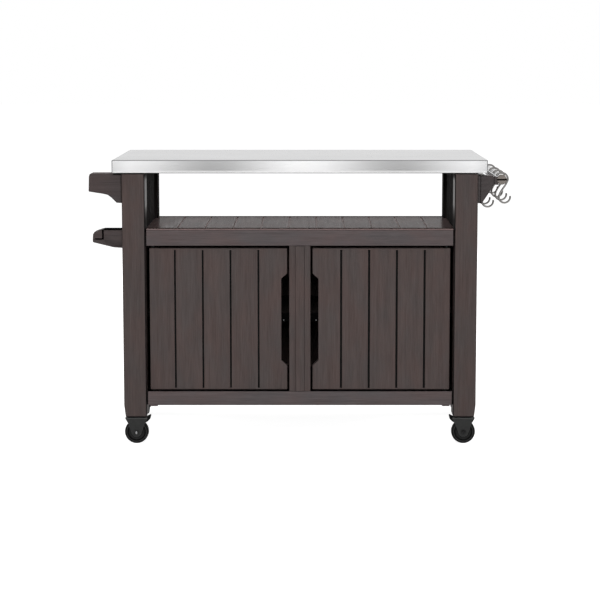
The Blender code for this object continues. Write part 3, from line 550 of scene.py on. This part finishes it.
def copy_of(node):
    """The solid's own shape, with its triangles merged back into whole faces."""
    shape = bmesh.new()
    shape.from_mesh(nodes[node].data)
    for mark in ("wear_and_painted_light", "deep", "painted_highlight"):
        mark_layer(shape, mark)
    bmesh.ops.remove_doubles(shape, verts=shape.verts, dist=0.00002)
    bmesh.ops.dissolve_limit(
        shape,
        angle_limit=math.radians(0.5),
        verts=shape.verts,
        edges=shape.edges,
        use_dissolve_boundaries=False,
    )
    return shape


def softened(node, finish, width=0.0015, angle=25, recess=None, rim=0.0, shade=None, lit=None):
    """A copy of a solid with its sharp edges rounded, apart from those of its recesses and other faces in
    painted shade.

    recess is the front plane and the depth of the recesses, which get painted shade, and rim the width of a
    chamfer round them, also in painted shade.
    shade picks faces for painted shade by their corners, and lit picks faces for a painted highlight, as
    faces that take the light.
    """
    shape = copy_of(node)
    if lit:
        mark_faces(shape, "painted_highlight", [f for f in shape.faces if lit(f)])
    dark = recess_faces(shape, *recess) if recess else []
    if shade:
        dark += [f for f in shape.faces if all(shade(v.co) for v in f.verts)]
    mark_faces(shape, "deep", dark)
    if rim:
        mark_faces(shape, "deep", chamfer_rims(shape, dark, rim))
    deep = mark_layer(shape, "deep")
    soften_beside(shape, [f for f in shape.faces if f[deep] > 0], width, 2, angle)
    keep(f"{node}_fine", shape, finish, body_of(node), [node], FLAT_ANGLE)


def recess_faces(shape, front, deep):
    """The walls and the floor of recesses that are cut into the plane Y = front."""
    found = []
    for face in shape.faces:
        y = face.calc_center_median().y
        floor = abs(face.normal.y) > 0.9 and abs(y - front - deep) < NEAR
        wall = abs(face.normal.y) < 0.1 and front < y < front + deep
        if floor or wall:
            found.append(face)
    return found


def block(low, high):
    """A block between two corners."""
    shape = bmesh.new()
    size = Vector(high) - Vector(low)
    place = Matrix.Translation((Vector(high) + Vector(low)) / 2)
    bmesh.ops.create_cube(shape, size=1.0, matrix=place @ Matrix.Diagonal((*size, 1)))
    return shape


def outline_block(outline, axis, low, high):
    """A flat outline pushed along an axis. Its two numbers are the other two axes, in X, Y, Z order."""
    shape = bmesh.new()
    order = {"X": (2, 0, 1), "Y": (0, 2, 1), "Z": (0, 1, 2)}[axis]
    corners = [shape.verts.new([(*p, low)[i] for i in order]) for p in outline]
    face = shape.faces.new(corners)
    pushed = bmesh.ops.extrude_face_region(shape, geom=[face])["geom"]
    move = Vector([(0, 0, high - low)[i] for i in order])
    bmesh.ops.translate(shape, verts=[v for v in pushed if isinstance(v, bmesh.types.BMVert)], vec=move)
    return outward(shape)


def lathe(profile, axis, centre, steps=48, closed=False):
    """The (radius, height) outline spun a full turn about the axis, Y or Z, through centre."""
    shape = bmesh.new()
    points = [shape.verts.new((radius, 0, height)) for radius, height in profile]
    rims = [shape.edges.new(pair) for pair in zip(points, points[1:])]
    if closed:
        rims.append(shape.edges.new((points[-1], points[0])))
    bmesh.ops.spin(
        shape,
        geom=points + rims,
        cent=(0, 0, 0),
        axis=(0, 0, 1),
        angle=2 * math.pi,
        steps=steps,
        use_merge=True,
    )
    bmesh.ops.remove_doubles(shape, verts=shape.verts, dist=0.00001)
    bmesh.ops.delete(shape, geom=[e for e in shape.edges if not e.link_faces], context="EDGES")
    turn = Matrix.Rotation(-QUARTER, 4, "X") if axis == "Y" else Matrix()
    bmesh.ops.transform(shape, matrix=Matrix.Translation(centre) @ turn, verts=shape.verts)
    return outward(shape)


def round_end(radius, length, edge):
    """The profile of a plain round bar whose rims are rounded."""
    half = length / 2
    return [
        (0, -half),
        (radius - edge, -half),
        (radius - edge * 0.3, -half + edge * 0.3),
        (radius, -half + edge),
        (radius, half - edge),
        (radius - edge * 0.3, half - edge * 0.3),
        (radius - edge, half),
        (0, half),
    ]


def arc(centre, radius, start, end, steps):
    """Points on a circle between two angles in degrees."""
    angles = [math.radians(start + (end - start) * i / steps) for i in range(steps + 1)]
    return [(centre[0] + radius * math.cos(a), centre[1] + radius * math.sin(a)) for a in angles]


def join(shape, other):
    """Adds another shape's faces to the first."""
    spare = bpy.data.meshes.new("spare")
    other.to_mesh(spare)
    other.free()
    shape.from_mesh(spare)
    bpy.data.meshes.remove(spare)
    return shape


def moved(shape, matrix):
    """The same shape, put in its place by a matrix."""
    bmesh.ops.transform(shape, matrix=matrix, verts=shape.verts)
    return shape


# Steel top


def make_steel_top():
    """A sheet folded down on four sides, with rounded corners and a small return under the skirt."""
    shape = block((-TOP_HALF_X, -TOP_HALF_Y, TOP_LOW), (TOP_HALF_X, TOP_HALF_Y, TOP_HIGH))
    uprights = [e for e in shape.edges if abs(e.verts[0].co.z - e.verts[1].co.z) > 0.01]
    soften(shape, uprights, SKIRT_CORNER, 3)
    top_edges = [e for e in shape.edges if all(v.co.z > TOP_HIGH - CLOSE for v in e.verts)]
    rim = [e for e in top_edges if any(abs(f.normal.z) < 0.5 for f in e.link_faces)]
    soften(shape, rim, TOP_RIM, 4)
    under = [f for f in shape.faces if f.normal.z < -0.9]
    bmesh.ops.inset_region(shape, faces=under, thickness=SKIRT_RETURN, use_even_offset=True)
    bmesh.ops.delete(shape, geom=under, context="FACES")
    bmesh.ops.solidify(shape, geom=shape.faces[:], thickness=STEEL_SHEET)
    outward(shape)
    keep("folded_top", shape, top_steel, "cart", ["steel_top"], SHEET_ANGLE)


make_steel_top()
# The deck under the steel top takes the inner resin, painted shade in the gap under the top
nodes["top_deck"].data.materials.clear()
nodes["top_deck"].data.materials.append(inner_shaded_resin)


# Cabinet


def make_leg(corner, side):
    """A leg whose narrow face towards the open bay has a finish of its own above the shelf: painted shade,
    with a painted sheen on the front legs. Its large slanted faces get painted shade.
    """
    node = f"leg_{corner}"
    shape = copy_of(node)
    # Painted shade on the large slanted faces
    slanted = [f for f in shape.faces if f.normal.x * side < -0.3 and f.normal.y < -0.3]
    mark_faces(shape, "deep", [f for f in slanted if f.calc_area() > 0.0005])
    cut_across(shape, (0, 0, SHELF_TOP), (0, 0, 1))
    at_front = corner.startswith("front")
    for face in shape.faces:
        above = face.calc_center_median().z > SHELF_TOP
        inward = face.normal.x * side < -0.9
        forward = face.normal.y < -0.5 or (face.normal.y < 0.5 and face.normal.x * side < -0.5)
        if above and (inward if at_front else forward):
            face.material_index = 1
    soften(shape, corner_edges(shape, 20), 0.0008, 2)
    # Faces towards the bay: painted sheen and shade on the front legs, painted shade on the rear legs
    towards_bay = return_painted_sheen if at_front else bay_shaded_resin
    keep(f"{node}_fine", shape, [upright_resin, towards_bay], "cart", [node], FLAT_ANGLE)


def make_side_panel(side, word):
    """A planked panel: grooves outside with painted shade, and a face towards the bay and the cabinet in
    painted shade.
    """
    node = f"side_panel_{word}"
    shape = copy_of(node)
    low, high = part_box(node)
    middles = [low.y + (high.y - low.y) * i / PANEL_PLANKS for i in range(1, PANEL_PLANKS)]
    inner = high.x if side < 0 else low.x
    dark, inward = [], []
    for face in shape.faces:
        middle = face.calc_center_median()
        grooved = any(abs(middle.y - m) < GROOVE_HALF + CLOSE for m in middles)
        if grooved and low.x + CLOSE < middle.x < high.x - CLOSE:
            dark.append(face)
        if abs(middle.x - inner) < CLOSE:
            inward.append(face)
    mark_faces(shape, "deep", dark)
    for face in inward:
        face.material_index = 1
    soften_beside(shape, dark, 0.0009)
    keep(f"{node}_fine", shape, [door_resin, bay_shaded_resin], "cart", [node], FLAT_ANGLE)


for side, word in SIDES:
    make_leg(f"front_{word}", side)
    make_leg(f"rear_{word}", side)
    make_side_panel(side, word)
    # The doors' grooves and the chamfers round them get painted shade
    grooves = (DOOR_FRONT, DOOR_GROOVE_DEEP)
    softened(f"door_{word}", door_resin, 0.0008, recess=grooves, rim=DOOR_GROOVE_RIM)
    # The inner shelves' front edges get painted shade, on the inner resin
    front_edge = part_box(f"inner_shelf_{word}")[0].y + NEAR
    softened(f"inner_shelf_{word}", inner_shaded_resin, 0.0015, shade=lambda p: p.y < front_edge)


def make_shelf_board():
    """The planked board: lines of painted highlight where the planks meet, and painted shade on the top of
    the front rim and in its recesses.
    """
    shape = copy_of("shelf_board")
    dark, painted_highlight = recess_faces(shape, *rail_gaps), []
    for face in shape.faces:
        over = face.calc_center_median().z - SHELF_TOP
        # Painted shade on the rim's top, painted highlight in the plank lines
        if face.normal.z > 0.9 and over > SHELF_RIM_STEP:
            dark.append(face)
        elif abs(face.normal.y) < 0.5 and -SHELF_GROOVE_DEEP < over < -0.0005:
            painted_highlight.append(face)
    mark_faces(shape, "deep", dark)
    mark_faces(shape, "painted_highlight", painted_highlight)
    soften_beside(shape, dark, 0.0009)
    keep("shelf_board_fine", shape, shelf_resin, "cart", ["shelf_board"], FLAT_ANGLE)


def make_bottom_rail():
    """The rail under the doors, whose top in the gap and whose recesses get painted shade."""
    shape = copy_of("bottom_front_rail")
    dark = recess_faces(shape, *rail_gaps)
    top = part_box("bottom_front_rail")[1].z
    dark += [f for f in shape.faces if f.normal.z > 0.9 and f.calc_center_median().z > top - 0.0005]
    mark_faces(shape, "deep", dark)
    soften_beside(shape, dark, 0.0012, 2, 20)
    rail = "bottom_front_rail"
    keep(f"{rail}_fine", shape, rail_resin, "cart", [rail], FLAT_ANGLE)


def make_centre_post():
    """The post, whose raised strip has a line of painted shade down each side."""
    shape = copy_of("centre_post")
    sharp = corner_edges(shape)
    strip = [e for e in sharp if all(abs(abs(v.co.x) - STRIP_HALF) < NEAR for v in e.verts)]
    mark_faces(shape, "deep", bevel(shape, strip, STRIP_CHAMFER, clamp=False), 0.7)
    upright = [f for f in shape.faces if abs(f.normal.x) > 0.9]
    mark_faces(shape, "deep", [f for f in upright if abs(f.calc_center_median().x) < POST_HALF])
    deep = mark_layer(shape, "deep")
    soften_beside(shape, [f for f in shape.faces if f[deep] > 0], 0.0010)
    keep("centre_post_fine", shape, door_resin, "cart", ["centre_post"], FLAT_ANGLE)


rail_gaps = (FRONT_FACE, LEG_GAP_DEEP)
make_shelf_board()
# The front rail's gaps by the legs get painted shade
softened("shelf_front_rail", rail_resin, 0.0012, 20, rail_gaps)
make_bottom_rail()
make_centre_post()
# The cabinet floor and the centre divider take the inner resin, painted shade
softened("cabinet_floor", inner_shaded_resin, 0.0012)
# The back panel's top gets painted shade, a dark line behind the shelf
softened("back_panel", door_resin, 0.0005, shade=lambda p: p.z > SHELF_TOP - NEAR)
softened("centre_divider", inner_shaded_resin, 0.0012)


# Arms, rack and brackets


def in_rack_seam(point):
    """Whether a point is in the seam between the lower arm and its cap, or on a chamfer beside it."""
    wide, narrow = 0.0016, 0.0006
    in_bar = RACK_SEAM_X - RACK_SEAM - wide < point.x < RACK_SEAM_X + wide
    upright = in_bar and RACK_SEAM_Z - narrow < point.z < RACK_STRIP_LOW + narrow
    in_foot = RACK_SEAM_START - narrow < point.x < RACK_SEAM_X + narrow
    level = in_foot and RACK_SEAM_Z - narrow < point.z < RACK_SEAM_Z + RACK_SEAM_LOW + narrow
    return upright or level


def on_rack_strip(point):
    """Whether a point is on the strip above the lower arm, which is painted near black as shade."""
    return point.x > RACK_SEAM_X - NEAR and point.z > RACK_STRIP_LOW - NEAR


def make_rack_piece(node):
    """The lower arm or its cap, painted near black as shade in the seam between them and on the strip above
    the arm.
    """
    shape = copy_of(node)
    for place in (RACK_SEAM_START, RACK_SEAM_X):
        cut_across(shape, (place, 0, 0), (1, 0, 0))
    dark = [f for f in shape.faces if all(in_rack_seam(v.co) for v in f.verts)]
    strip = [f for f in shape.faces if all(on_rack_strip(v.co) for v in f.verts)]
    for face in dark + strip:
        face.material_index = 1
    chamfer_rims(shape, dark, RACK_SEAM_RIM, 1)
    soften_beside(shape, [f for f in shape.faces if f.material_index == 1], 0.0005, 2, 20)
    keep(f"{node}_fine", shape, [arm_resin, swivel_black_and_shade], "cart", [node], FLAT_ANGLE)


def lit_top(node):
    """Whether a face is the level top of a solid, which takes the light from above."""
    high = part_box(node)[1].z - NEAR
    return lambda face: face.normal.z > 0.9 and face.calc_center_median().z > high


# The arm's joint recess and the bracket's lines get painted shade, and their level tops a painted highlight
arm_joint = (ARM_FRONT, ARM_JOINT_DEEP)
arm_top = lit_top("towel_arm_front")
softened("towel_arm_front", arm_resin, 0.0012, 20, arm_joint, lit=arm_top)
softened("towel_arm_rear", arm_resin, 0.0012, 12)
make_rack_piece("rack_arm_front")
make_rack_piece("rack_end_cap")
softened("rack_tray", arm_resin, 0.0010)
bracket_lines = (ARM_FRONT, BRACKET_LINE_DEEP)
bracket_top = lit_top("bar_bracket_front")
softened("bar_bracket_front", arm_resin, 0.0010, 20, bracket_lines, lit=bracket_top)
softened("bar_bracket_rear", arm_resin, 0.0010, 20)


def make_rod(node, axis, radius, edge, steps, finish):
    """A round bar along Y, as long as its solid."""
    low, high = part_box(node)
    middle = (axis[0], (low.y + high.y) / 2, axis[1])
    rod = lathe(round_end(radius, high.y - low.y, edge), "Y", middle, steps)
    keep(f"{node}_fine", rod, finish, body_of(node), [node])


def make_hook_bar():
    """The tube, closed at the rear with a domed end, and the slotted plug in its front."""
    inner = BAR_RADIUS - TUBE_WALL
    axis = (BAR_AXIS[0], 0, BAR_AXIS[1])
    profile = [
        (inner, BAR_FRONT),
        (BAR_RADIUS - 0.0004, BAR_FRONT),
        (BAR_RADIUS, BAR_FRONT + 0.0004),
        (BAR_RADIUS, BAR_REAR - 0.0025),
        (BAR_RADIUS - 0.0008, BAR_REAR - 0.0008),
        (BAR_RADIUS - 0.0025, BAR_REAR),
        (0, BAR_REAR),
        (0, BAR_REAR - TUBE_END),
        (inner, BAR_REAR - TUBE_END),
    ]
    tube = lathe(profile, "Y", axis, 64, True)
    keep("hook_tube", tube, tube_steel, "cart", ["hook_bar"])
    plug = copy_of("bar_plug_front")
    # The plug's slot and the chamfer round it are painted near black as shade
    slot = recess_faces(plug, PLUG_FACE, PLUG_SLOT_DEEP)
    for face in slot:
        face.material_index = 1
    chamfer_rims(plug, slot, PLUG_RIM, 1)
    soften_beside(plug, [f for f in plug.faces if f.material_index == 1], 0.0003, 2, 40)
    keep("tube_plug", plug, [plug_resin, swivel_black_and_shade], "cart", ["bar_plug_front"])


def hook_line():
    """The wire's line, measured from the tube's middle: a loop over the tube, a stem and a crook."""
    loop = arc(HOOK_SHIFT, HOOK_RADIUS, 140, -25, 30)
    crook = arc(CROOK_CENTRE, CROOK_RADIUS, 160, 365, 36)
    stem_top, stem_low = Vector(loop[-1]), Vector(crook[0])
    before = (Vector(loop[-1]) - Vector(loop[-2])).normalized()
    after = (Vector(crook[1]) - Vector(crook[0])).normalized()
    reach = (stem_low - stem_top).length
    stem = []
    for i in range(1, 12):
        t = i / 12
        h = (2 * t**3 - 3 * t**2 + 1, t**3 - 2 * t**2 + t, -2 * t**3 + 3 * t**2, t**3 - t**2)
        point = h[0] * stem_top + h[1] * reach * before + h[2] * stem_low + h[3] * reach * after
        stem.append(tuple(point))
    return loop + stem + crook


def make_hook(number, place):
    """A ring of points carried along the wire's line, with round ends."""
    line = [Vector((u, 0, w)) for u, w in hook_line()]
    shape = bmesh.new()
    path = []
    for share, shrink in ((0.9, 0.45), (0.45, 0.85)):
        back = (line[0] - line[1]).normalized() * WIRE_RADIUS * share
        path.append((line[0] + back, shrink))
    path += [(p, 1.0) for p in line]
    for share, shrink in ((0.45, 0.85), (0.9, 0.45)):
        on = (line[-1] - line[-2]).normalized() * WIRE_RADIUS * share
        path.append((line[-1] + on, shrink))
    rings = []
    for i, (point, share) in enumerate(path):
        before, after = path[max(i - 1, 0)][0], path[min(i + 1, len(path) - 1)][0]
        turn = (after - before).normalized().to_track_quat("Z", "Y").to_matrix().to_4x4()
        at = Matrix.Translation(point) @ turn
        made = bmesh.ops.create_circle(shape, segments=WIRE_SIDES, radius=WIRE_RADIUS * share, matrix=at)
        rings.append(made["verts"])
    for pair in zip(rings, rings[1:]):
        edges = [e for e in shape.edges if any(all(v in ring for v in e.verts) for ring in pair)]
        bmesh.ops.bridge_loops(shape, edges=edges)
    for ring in (rings[0], rings[-1]):
        bmesh.ops.contextual_create(shape, geom=ring)
    bmesh.ops.translate(shape, verts=shape.verts, vec=place)
    outward(shape)
    node = f"hook_{number}"
    keep(f"hook_wire_{number}", shape, wire_steel, node, [node], WIRE_ANGLE)


make_rod("towel_rod", ROD_AXIS, ROD_RADIUS, 0.001, 48, tube_steel)
make_rod("inner_rail", INNER_RAIL_AXIS, INNER_RAIL_RADIUS, 0.0008, 32, zinc)
make_hook_bar()
on_bar, on_rail = Vector((BAR_AXIS[0], 0, BAR_AXIS[1])), Vector((RAIL_HOOK_SHIFT[0], 0, RAIL_HOOK_SHIFT[1]))
hook_places = [on_bar + Vector((0, depth, 0)) for depth in BAR_HOOK_DEPTHS]
hook_places += [on_bar + on_rail + Vector((0, depth, 0)) for depth in RAIL_HOOK_DEPTHS]
for number, place in enumerate(hook_places, start=1):
    make_hook(number, place)


# Small metal parts


def make_pin(node):
    """A door's hinge pin, as long as its solid."""
    low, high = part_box(node)
    pin = lathe(round_end(PIN_RADIUS, high.z - low.z, 0.0008), "Z", (low + high) / 2, 32)
    # The pins' near-black finish stands in for the shade in the gaps by the doors
    keep(f"{node}_fine", pin, dark_zinc, "cart", [node])


def make_catch(side, word):
    """A door catch and the small bright stud beside it."""
    catch = copy_of(f"door_catch_{word}")
    soften(catch, corner_edges(catch), 0.0005, 2)
    # The catch is near black, painted shade in the gap beside the door
    keep(f"catch_bracket_{word}", catch, swivel_black_and_shade, "cart", [f"door_catch_{word}"])
    half = [(0, -0.0022), (0.0012, -0.0021), (0.0021, -0.0016), (0.0026, -0.0008), (0.0027, 0.0002)]
    x, y, z = CATCH_STUD
    stud = lathe(half + [(0, 0.0002)], "Y", (side * x, y, z), 24)
    keep(f"catch_stud_{word}", stud, zinc, "cart", ())


def make_bracket_screw():
    """The domed screw head low on the front bracket."""
    half = [(0, -0.0026), (0.0010, -0.0025), (0.0018, -0.0020), (0.0023, -0.0012), (0.0024, 0.0010)]
    head = lathe(half + [(0, 0.0010)], "Y", BRACKET_SCREW, 24)
    keep("bracket_screw", head, dark_zinc, "cart", ())


for side, word in SIDES:
    for place in ("bottom", "top"):
        make_pin(f"hinge_pin_{place}_{word}")
    make_catch(side, word)
make_bracket_screw()


# Casters


def caster_frame(name):
    """The place of a caster's swivel on the floor, turned as the caster stands."""
    x, y, turn = CASTERS[name][:3]
    return Matrix.Translation((x, y, 0)) @ Matrix.Rotation(turn, 4, "Z")


def mark_ring(shape, mark, inner, outer):
    """Marks the faces of a wheel's side between two radii."""
    layer = mark_layer(shape, mark)
    for face in shape.faces:
        middle = face.calc_center_median()
        reach = math.hypot(middle.x - TRAIL, middle.z - WHEEL_RADIUS)
        if inner < reach < outer and abs(face.normal.y) > 0.3:
            face[layer] = 1.0


def make_wheel(name):
    """A tyre with rounded shoulders over a ribbed disc, on a hub."""
    at = caster_frame(name)
    tread = [
        (0.0300, -WHEEL_HALF),
        (0.0316, -WHEEL_HALF),
        (0.0345, -WHEEL_HALF),
        (0.0360, -WHEEL_HALF + 0.0007),
        (0.0370, -WHEEL_HALF + 0.0022),
        (WHEEL_RADIUS, -WHEEL_HALF + 0.0050),
        (WHEEL_RADIUS, WHEEL_HALF - 0.0050),
        (0.0370, WHEEL_HALF - 0.0022),
        (0.0360, WHEEL_HALF - 0.0007),
        (0.0345, WHEEL_HALF),
        (0.0316, WHEEL_HALF),
        (0.0300, WHEEL_HALF),
        (0.0293, WHEEL_HALF - 0.0010),
        (0.0293, -WHEEL_HALF + 0.0010),
    ]
    tyre = lathe(tread, "Y", (TRAIL, 0, WHEEL_RADIUS), 72, True)
    # A painted highlight: a light ring on the tyre's side
    mark_ring(tyre, "wear_and_painted_light", 0.0293, 0.0316)
    moved(tyre, at)
    node = f"caster_wheel_{name}"
    keep(f"tyre_{name}", tyre, tyre_rubber, body_of(node), [node])
    disc = [
        (0.0044, -WHEEL_HALF - 0.0015),
        (0.0085, -WHEEL_HALF - 0.0015),
        (0.0092, -WHEEL_HALF - 0.0008),
        (0.0100, -WHEEL_HALF + 0.0030),
        (0.0120, -WHEEL_HALF + 0.0040),
        (0.0235, -WHEEL_HALF + 0.0040),
        (0.0255, -WHEEL_HALF + 0.0028),
        (0.0265, -WHEEL_HALF + 0.0004),
        (0.0280, -WHEEL_HALF + 0.0002),
        (0.0292, -WHEEL_HALF + 0.0010),
    ]
    disc += [(r, -h) for r, h in reversed(disc)]
    hub = lathe(disc, "Y", (TRAIL, 0, WHEEL_RADIUS), 72, True)
    # Painted shade: a dark ring on the disc by the tyre
    mark_ring(hub, "deep", 0.0250, 0.0292)
    moved(hub, at)
    keep(f"wheel_disc_{name}", hub, hub_plastic, body_of(node), ())


def cheek_outline():
    """The fork's side: wide at the top and round at the axle."""
    half = [(FORK_HALF, FORK_TOP), (FORK_HALF, FORK_TOP - 0.0030), (0.0270, 0.0670), (0.0152, 0.0355)]
    outline = [(TRAIL - u, z) for u, z in half]
    outline += arc((TRAIL, WHEEL_RADIUS), 0.0150, 200, 340, 18)
    outline += [(TRAIL + u, z) for u, z in reversed(half)]
    return outline


def make_fork(name):
    """Two pressed cheeks under a top sheet, with a pressed ring round the axle."""
    at = caster_frame(name)
    braked = CASTERS[name][3]
    shape = bmesh.new()
    for side in (-1, 1):
        low, high = sorted((side * CHEEK_IN, side * CHEEK_OUT))
        join(shape, outline_block(cheek_outline(), "Y", low, high))
    far = TRAIL + (BRAKED_FORK_REACH if braked else FORK_HALF)
    reach = CHEEK_IN + CLOSE
    join(shape, block((TRAIL - FORK_HALF, -reach, FORK_UNDER), (far, reach, FORK_TOP)))
    cut_across(shape, (0, 0, FORK_BAND), (0, 0, 1))
    # The top band, above FORK_BAND, takes the lighter edge tone
    mark_layer(shape, "wear_and_painted_light")
    mark_faces(shape, "wear_and_painted_light", [f for f in shape.faces if f.calc_center_median().z > FORK_BAND])
    soften(shape, corner_edges(shape), 0.0006, 2)
    ring = [(0.0078, -0.0001), (0.0082, 0.0005), (0.0090, 0.0007), (0.0098, 0.0005), (0.0104, -0.0001)]
    for side in (-1, 1):
        turn = Matrix.Rotation(0 if side > 0 else math.pi, 4, "X")
        place = Matrix.Translation((TRAIL, side * CHEEK_OUT, WHEEL_RADIUS))
        join(shape, moved(lathe(ring, "Y", (0, 0, 0), 40, True), place @ turn))
    node = f"caster_fork_{name}"
    keep(f"fork_{name}", moved(shape, at), fork_paint, body_of(node), [node], CHEEK_ANGLE)


def make_axle(name):
    """A bolt with a domed head, a washer and a nut, and the bright rivet in its head."""
    at = caster_frame(name)
    outer = CHEEK_OUT
    profile = [
        (0, -outer - 0.0030),
        (0.0052, -outer - 0.0028),
        (0.0064, -outer - 0.0018),
        (0.0066, -outer - 0.0004),
        (0.0040, -outer - 0.0003),
        (0.0040, outer + 0.0003),
        (0.0075, outer + 0.0003),
        (0.0075, outer + 0.0012),
        (0.0040, outer + 0.0012),
        (0.0036, outer + 0.0048),
        (0, outer + 0.0050),
    ]
    shape = moved(lathe(profile, "Y", (TRAIL, 0, WHEEL_RADIUS), 40), at)
    nut = bmesh.new()
    place = Matrix.Translation((TRAIL, outer + 0.0026, WHEEL_RADIUS)) @ Matrix.Rotation(QUARTER, 4, "X")
    bmesh.ops.create_cone(
        nut, cap_ends=True, segments=6, radius1=0.0064, radius2=0.0064, depth=0.0028, matrix=place
    )
    soften(nut, nut.edges[:], 0.0003, 2)
    join(shape, moved(nut, at))
    node = f"caster_axle_{name}"
    keep(f"axle_bolt_{name}", shape, dark_zinc, body_of(node), [node])
    dome = [(0, -0.0012), (0.0012, -0.0011), (0.0022, -0.0007), (0.0028, -0.0001), (0.0028, 0.0004)]
    rivet = lathe(dome + [(0, 0.0004)], "Y", (0, 0, 0), 32)
    moved(rivet, Matrix.Diagonal((1.1, 1.0, 1.8, 1.0)))
    moved(rivet, at @ Matrix.Translation((TRAIL, -outer - 0.0028, WHEEL_RADIUS - 0.0010)))
    keep(f"axle_rivet_{name}", rivet, zinc, body_of(node), ())


def make_plate(name):
    """The top plate with rounded edges, and the ball race under it."""
    node = f"caster_plate_{name}"
    shape = copy_of(node)
    soften(shape, corner_edges(shape), 0.0005, 2)
    keep(f"swivel_plate_{name}", shape, swivel_black_and_shade, "cart", [node])
    race = [(0.0152, 0.0850), (0.0172, 0.0853), (0.0180, 0.0862), (0.0176, 0.0874), (0.0160, 0.0884)]
    ring = lathe(race + [(0.0152, 0.0884)], "Z", (*CASTERS[name][:2], 0), 48, True)
    keep(f"ball_race_{name}", ring, swivel_black_and_shade, "cart", ())


for caster in CASTERS:
    make_wheel(caster)
    make_fork(caster)
    make_axle(caster)
    make_plate(caster)


def make_lever(name):
    """A pedal with a ribbed tread."""
    node = f"brake_lever_{name}"
    shape = copy_of(node)
    soften(shape, corner_edges(shape), 0.0005, 2)
    at = caster_frame(name)
    for i in range(3):
        u = TRAIL + PEDAL_RIB + PEDAL_RIB_STEP * i
        low = (u - 0.0003, -PEDAL_HALF, PEDAL_TOP - 0.0010)
        rib = block(low, (u + 0.0003, PEDAL_HALF, PEDAL_TOP + 0.0004))
        soften(rib, rib.edges[:], 0.00015, 2)
        join(shape, moved(rib, at))
    keep(f"pedal_{name}", shape, black_plastic, body_of(node), [node])


make_lever("front_left")
make_lever("front_right")


# Floor, light and camera


def ray_shares(tree):
    """Which rays are the camera's own, and which are mirrored by something glossy."""
    rays = add(tree, "ShaderNodeLightPath")
    return rays.outputs["Is Camera Ray"], rays.outputs["Is Glossy Ray"]


def make_floor():
    """A white floor that keeps a faint shadow near the cart and meets the white background far away."""
    floor = bpy.data.meshes.new("studio_floor")
    shape = bmesh.new()
    bmesh.ops.create_grid(shape, x_segments=1, y_segments=1, size=30.0)
    shape.to_mesh(floor)
    shape.free()
    made, tree, shader = new_finish("studio_white")
    shader.inputs["Base Color"].default_value = (FLOOR_TONE, FLOOR_TONE, FLOOR_TONE, 1.0)
    shader.inputs["Roughness"].default_value = 0.9
    shader.inputs["Specular IOR Level"].default_value = 0.0
    glow = add(tree, "ShaderNodeEmission")
    glow.inputs["Color"].default_value = (1.0, 1.0, 1.0, 1.0)
    place = add(tree, "ShaderNodeTexCoord")
    away = add(tree, "ShaderNodeVectorMath", operation="LENGTH")
    tree.links.new(place.outputs["Object"], away.inputs[0])
    white = spread(tree, away.outputs["Value"], *FLOOR_FADE, FLOOR_NEAR, 1.0)
    camera_ray, glossy_ray = ray_shares(tree)
    seen = math_node(tree, "MULTIPLY", camera_ray, white)
    mirrored = math_node(tree, "MULTIPLY", glossy_ray, FLOOR_MIRROR)
    tree.links.new(math_node(tree, "ADD", seen, mirrored), glow.inputs["Strength"])
    both = add(tree, "ShaderNodeAddShader")
    tree.links.new(shader.outputs[0], both.inputs[0])
    tree.links.new(glow.outputs[0], both.inputs[1])
    tree.links.new(both.outputs[0], tree.nodes["Material Output"].inputs["Surface"])
    floor.materials.append(made)
    stage = bpy.data.objects.new("studio_floor", floor)
    bpy.context.scene.collection.objects.link(stage)


def make_world():
    """White behind the cart, a weak fill, and for the metal white at front and back and grey at the sides."""
    world = bpy.data.worlds.new("studio")
    world.use_nodes = True
    tree = world.node_tree
    back = tree.nodes["Background"]
    back.inputs["Color"].default_value = (1.0, 1.0, 1.0, 1.0)
    place = add(tree, "ShaderNodeTexCoord")
    parts = add(tree, "ShaderNodeSeparateXYZ")
    tree.links.new(place.outputs["Generated"], parts.inputs[0])
    lengthways = math_node(tree, "ABSOLUTE", parts.outputs["Y"])
    flagged = spread(tree, lengthways, *FLAG_SPAN, SIDE_FLAGS, FRONT_GLOW)
    camera_ray, glossy_ray = ray_shares(tree)
    mirrored = math_node(tree, "MULTIPLY", glossy_ray, flagged)
    seen = math_node(tree, "MAXIMUM", camera_ray, mirrored)
    tree.links.new(math_node(tree, "MAXIMUM", seen, WORLD_FILL), back.inputs["Strength"])
    bpy.context.scene.world = world


def make_lamp(name, place, aim_height, size, power):
    """A soft lamp that points at the cart's middle and doesn't show in reflections."""
    lamp = bpy.data.lights.new(name, "AREA")
    lamp.shape = "RECTANGLE"
    lamp.size, lamp.size_y = size
    lamp.energy = power
    holder = bpy.data.objects.new(name, lamp)
    holder.location = place
    aim = Vector((0, 0, aim_height)) - Vector(place)
    holder.rotation_euler = aim.to_track_quat("-Z", "Y").to_euler()
    holder.visible_glossy = False
    bpy.context.scene.collection.objects.link(holder)


def make_camera():
    """The camera in front of the cart, a little above the top."""
    camera = bpy.data.cameras.new("camera")
    camera.sensor_width = 36
    camera.lens = CAMERA_LENS
    camera.shift_x, camera.shift_y = CAMERA_SHIFT
    holder = bpy.data.objects.new("camera", camera)
    holder.location = CAMERA_PLACE
    holder.rotation_euler = (QUARTER - CAMERA_PITCH, 0, 0)
    bpy.context.scene.collection.objects.link(holder)
    bpy.context.scene.camera = holder


make_floor()
make_world()
for lamp in LAMPS:
    make_lamp(*lamp)
make_camera()
bpy.context.scene.view_settings.view_transform = "Standard"
